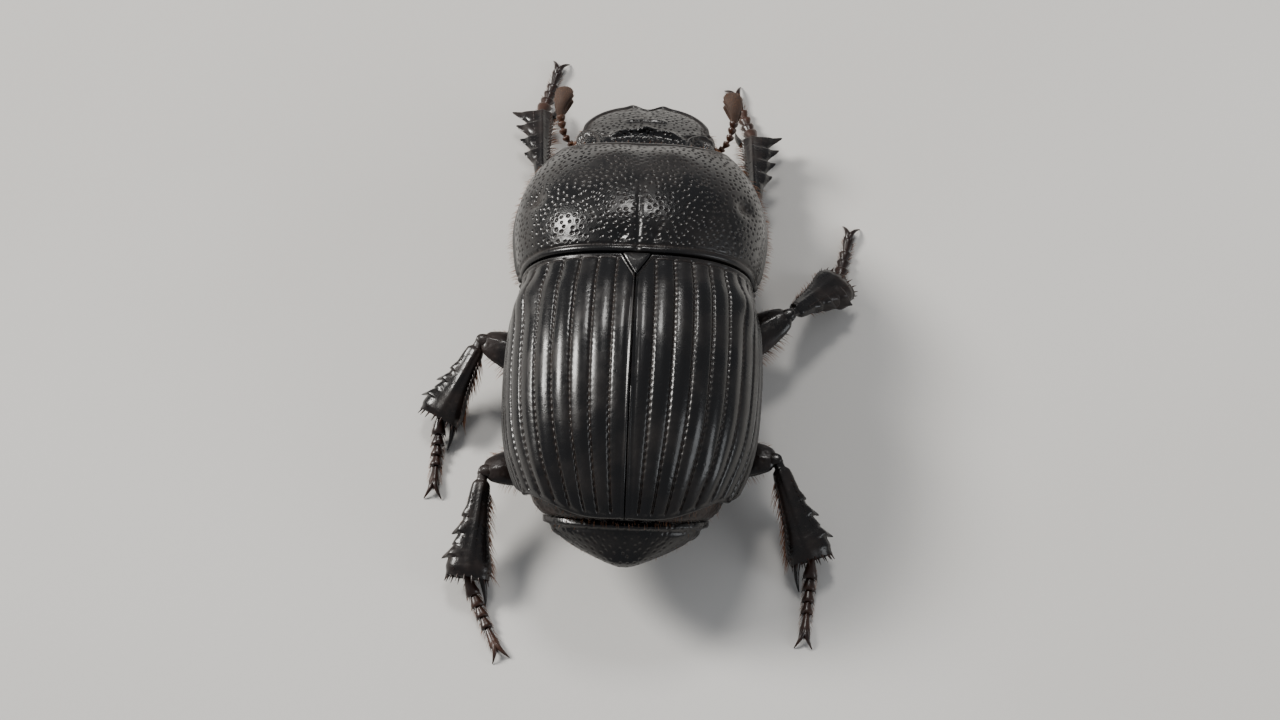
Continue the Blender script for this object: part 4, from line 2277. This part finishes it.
@dataclass
class CoatPlan:
    """Where the beetle's bristles grow."""

    head: Head
    feelers: Feelers
    pronotum: Pronotum
    wing_case: WingCase
    underside: Underside

    def head_beds(self) -> list[Bed]:
        """Under the rim of the head shield, and forwards from the lip.

        Returns:
            The beds.
        """
        beds = []
        for first, last, reach in ((-0.55, 0.35, 0.75), (-1.25, -0.55, 0.42), (-1.9, -1.25, 0.26)):
            for side in SIDES:
                angle = np.linspace(first, last, 24)
                flat = np.column_stack([np.cos(angle) * side, np.sin(angle)])
                x, y = (flat * self.head.outline(angle)[:, None] * 0.955).T
                z = self.head.rim_height + self.head.slope * y - 0.22
                radial = np.column_stack([flat, np.full(24, -0.28)])
                line = np.column_stack([x, self.head.centre + y, z])
                beds.append(Bed.along(line, 0.22, radial, radial, reach))
        x = np.linspace(-1.35, 1.35, 24)
        level = np.ones(24)
        lip = np.column_stack([x, -12.1 + 0.192 * x**2, level * 2.75])
        ahead = np.column_stack([x * 0.25, -level, level * -0.12])
        return [*beds, Bed.along(lip, 0.4, UP, ahead, 0.6, (0.0, 0.2, 1.0))]

    def club_beds(self) -> list[Bed]:
        """All over the leaves of the feelers' clubs.

        Returns:
            The beds.
        """
        beds = []
        for side in SIDES:
            for lift in self.feelers.leaf_lifts():
                rings = self.feelers.leaf(lift, side)[2:-2]
                rings = np.concatenate([rings, rings[:, :1]], 1)
                lie = unit(rings - rings.mean(1, keepdims=True)) * 0.5 + (0.0, -1.0, 0.0)
                beds.append(Bed(rings, lie, 0.13, (0.0, -1.0, 0.0)))
        return beds

    def pronotum_beds(self) -> list[Bed]:
        """Under the side rims of the pronotum and along its front edge.

        Returns:
            The beds.
        """
        y = np.linspace(-9.5, -0.7, 60)
        rim, reach = PLAN.surface(math.radians(-5), y), 0.62 + 0.3 * bell(y + 8.5, 1.6)
        beds = [
            Bed.along(mirrored(rim, side), 0.24, UP, mirrored((1, -0.15, -0.35), side), reach)
            for side in SIDES
        ]
        angle = np.radians(np.linspace(20, 160, 90))
        spokes = np.column_stack([np.cos(angle), 0 * angle, np.sin(angle)])
        line = PLAN.surface(angle, self.pronotum.front(PLAN.spread(angle)) + 0.16) - spokes * 0.36
        lie = spokes * (0.15, 0, 0) + (0, -1, -0.35)
        return [*beds, Bed.along(line, 0.2, np.array([0, 1, 0]), lie, 0.5, (0.0, 0.0, -1.0))]

    def patches(self, y: Array, degrees: Array, lie: Place, reach: float) -> list[Bed]:
        """A bed on each side of the trunk's own skin, given by the left one's lie."""
        grid = self.underside.skin(np.radians(degrees), y[:, None])
        return [Bed(mirrored(grid, side), mirrored(lie, side), reach) for side in SIDES]

    def underside_beds(self) -> list[Bed]:
        """The sides and the front of the breast, and the sides of the belly.

        Returns:
            The beds.
        """
        beds = []
        for first, last, reach in ((-7.4, -2.4, 0.95), (0.4, 8.8, 0.8), (10.2, 13.2, 0.5)):
            y, degrees = np.linspace(first, last, 24), np.linspace(-62, -14, 10)
            beds += self.patches(y, degrees, (0.55, 0.85, -0.55), reach)
        return beds

    def tail_beds(self) -> list[Bed]:
        """Under the rear edge of the wing cases and over the tail plate.

        Returns:
            The beds.
        """
        angle = np.radians(np.linspace(8, 172, 80))
        spokes = np.column_stack([np.cos(angle), 0 * angle, np.sin(angle)])
        line = PLAN.surface(angle, self.wing_case.rear(PLAN.spread(angle)) - 0.1) - spokes * 0.5
        lie = spokes * (0.2, 0, 0) + (0, 1, -0.75)
        plate = self.patches(np.linspace(14.6, 16.3, 12), np.linspace(-80, 50, 20), (0.3, 0.7, -0.9), 0.42)
        return [Bed.along(line, 0.25, np.array([0, 1, 0]), lie, 0.42), *plate]

    def leg_beds(self, leg: Leg) -> list[Bed]:
        """Along both edges of a thigh and a shin, and both lower sides of a foot.

        Args:
            leg: The leg.

        Returns:
            The beds.
        """
        beds = []
        thigh, t = leg.thigh_limb(), np.linspace(0.22, 0.88, 30)
        fullness = 0.6 + 0.4 * np.sin(math.pi * np.linspace(0, 1, 30))
        for out, reach in ((0.93, 0.85), (-0.88, 0.7)):
            line = thigh.at(out * leg.thigh(t), -0.12 * leg.thigh(t), t * thigh.length)
            lie = thigh.leaning(out, -0.25, 0.75)
            beds.append(Bed.along(line, 0.2, thigh.upper, lie, reach * fullness))
        shin, t = leg.shin_limb(), np.linspace(0.12, 0.95, 30)
        half = leg.shin_half(t) * leg.bristle_inset
        for out, up, reach in ((-1.0, -0.1, 1.0), (0.80, -0.2, 0.65)):
            line = shin.at(out * half, up * half, t * shin.length)
            lie = shin.leaning(out * 0.8, -0.15, 1.0)
            beds.append(Bed.along(line, 0.2, shin.upper, lie, reach))
        foot = leg.foot_line(np.linspace(0.06, 0.97, 40))
        way = unit(np.gradient(foot, axis=0))
        for side in SIDES:
            aside = unit(np.cross(way, UP)) * side
            beds.append(Bed.along(foot + aside * 0.26 - UP * 0.06, 0.16, UP, way + aside * 0.6, 0.48))
        return beds

    def fringes(self) -> list[Fringe]:
        """Every piece of bristles.

        Returns:
            The pieces, still to be grown.
        """
        made = [
            Fringe("bristles_head", 130.0, self.head_beds(), seed=3),
            Fringe("bristles_clubs", 170.0, self.club_beds(), 0.055, 0.3, 2),
            Fringe("bristles_pronotum", 95.0, self.pronotum_beds(), seed=4),
            Fringe("bristles_underside", 9.0, self.underside_beds(), unruliness=0.35, seed=5),
            Fringe("bristles_tail", 22.0, self.tail_beds(), unruliness=0.3, seed=6),
        ]
        for n, leg in enumerate(LEGS):
            made.append(Fringe(f"bristles_leg_{leg.name}", 62.0, self.leg_beds(leg), 0.038, 0.2, 10 + n))
        return made


# Studio


class LampKind(Enum):
    """How a lamp throws its light: evenly from far away, or from a disc close by."""

    SUN = "SUN"
    DISC = "AREA"


@dataclass(frozen=True)
class Lamp:
    """One soft lamp. Spread is a disc's width in metres, or the angle that a sun fills."""

    name: str
    kind: LampKind
    place: Place
    spread: float
    power: float
    colour: Colour

    def hang(self, target: Vector) -> None:
        """Puts the lamp in the scene.

        Args:
            target: What it is aimed at, in metres.
        """
        light = bpy.data.lights.new(self.name, self.kind.value)
        if self.kind is LampKind.SUN:
            light.angle = self.spread
        else:
            light.shape, light.size = "DISK", self.spread
        light.energy, light.color = self.power, self.colour
        holder = bpy.data.objects.new(f"lamp_{self.name}", light)
        holder.location = self.place
        holder.rotation_euler = (target - Vector(self.place)).to_track_quat("-Z", "Y").to_euler()
        holder.visible_camera = False
        bpy.context.scene.collection.objects.link(holder)


@dataclass
class Studio:
    """A plain pale floor, soft lamps and the camera."""

    azimuth: float = math.radians(182.6)
    elevation: float = math.radians(60.0)
    distance: float = 0.272
    aim: Place = (0.0, 0.0037, 0.006)
    lens: float = 135.0
    floor_half: float = 3.0
    target: Place = (0.0, 0.0, 0.006)
    sky: Colour = (0.92, 0.95, 1.0)
    sky_strength: float = 0.30
    lamps: tuple[Lamp, ...] = (
        Lamp("day", LampKind.SUN, (0.34, -0.12, 0.30), math.radians(18), 2.0, (1.0, 0.98, 0.94)),
        Lamp("key", LampKind.DISC, (0.34, -0.14, 0.27), 0.12, 1.2, (1.0, 0.97, 0.92)),
        Lamp("top", LampKind.DISC, (0.02, -0.24, 0.36), 0.10, 0.6, (1.0, 0.98, 0.95)),
        Lamp("fill", LampKind.DISC, (-0.36, 0.10, 0.20), 0.20, 0.35, (0.94, 0.97, 1.0)),
    )

    def build_floor(self) -> None:
        """Lays the floor."""
        bm = bmesh.new()
        bmesh.ops.create_grid(bm, x_segments=12, y_segments=12, size=self.floor_half)
        mesh = bpy.data.meshes.new("studio_floor")
        bm.to_mesh(mesh)
        bm.free()
        mesh.materials.append(material_of(Floor("pale_board")))
        floor = bpy.data.objects.new("studio_floor", mesh)
        bpy.context.scene.collection.objects.link(floor)
        floor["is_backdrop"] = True

    def build_lamps(self) -> None:
        """Hangs the soft lamps and sets the room's own light."""
        for lamp in self.lamps:
            lamp.hang(Vector(self.target))
        world = bpy.data.worlds.new("studio_air")
        world.use_nodes = True
        backdrop = world.node_tree.nodes["Background"]
        backdrop.inputs["Color"].default_value = (*self.sky, 1.0)
        backdrop.inputs["Strength"].default_value = self.sky_strength
        bpy.context.scene.world = world

    def build_camera(self) -> None:
        """Sets up the camera behind and above the beetle."""
        level = math.cos(self.elevation)
        back = Vector((
            math.sin(self.azimuth) * level, -math.cos(self.azimuth) * level, math.sin(self.elevation),
        ))
        camera = bpy.data.objects.new("camera", bpy.data.cameras.new("camera"))
        camera.data.lens = self.lens
        camera.location = Vector(self.aim) + back * self.distance
        camera.rotation_euler = (-back).to_track_quat("-Z", "Y").to_euler()
        camera.data.clip_start, camera.data.clip_end = 0.01, 10.0
        bpy.context.scene.collection.objects.link(camera)
        bpy.context.scene.camera = camera


def write_sizes() -> None:
    """Writes the CAD model's box and the visual model's box."""
    boxes = {"cad": CAD_BOX, "visual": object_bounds()}
    {name: [list(corner) for corner in box] for name, box in boxes.items()}


def main() -> None:
    """Builds the beetle piece by piece, then the studio."""
    logging.basicConfig(level=logging.INFO, format="%(message)s")
    pits, grooves, set_out, coat = Pits(), Grooves(), SetOut(), Coat()
    head, feelers, pronotum, underside = Head(), Feelers(), Pronotum(), Underside()
    wing_cases = [WingCase(side) for side in SIDES]
    head.build(pits)
    head.build_eyes(set_out)
    feelers.build(set_out)
    Mouth().build()
    pronotum.build(pits)
    for wing_case in wing_cases:
        wing_case.build(grooves)
    Scutellum().build(pits)
    underside.build(pits)
    segment, spine = segment_template(), spine_template()
    for leg in LEGS:
        leg.build(pits, set_out, segment)
    spines = joined([leg.spine_guide() for leg in LEGS]).piece("shin_spines", FOOT)
    enrol(set_out.work(spines, FOOT, Template=spine, Keep_Guide=False), Slot.FOOT)
    for spent in (segment, spine):
        bpy.data.objects.remove(spent)
    for fringe in CoatPlan(head, feelers, pronotum, wing_cases[0], underside).fringes():
        fringe.build(coat)
    studio = Studio()
    studio.build_floor()
    studio.build_lamps()
    studio.build_camera()
    write_sizes()


if __name__ == "__main__":
    main()
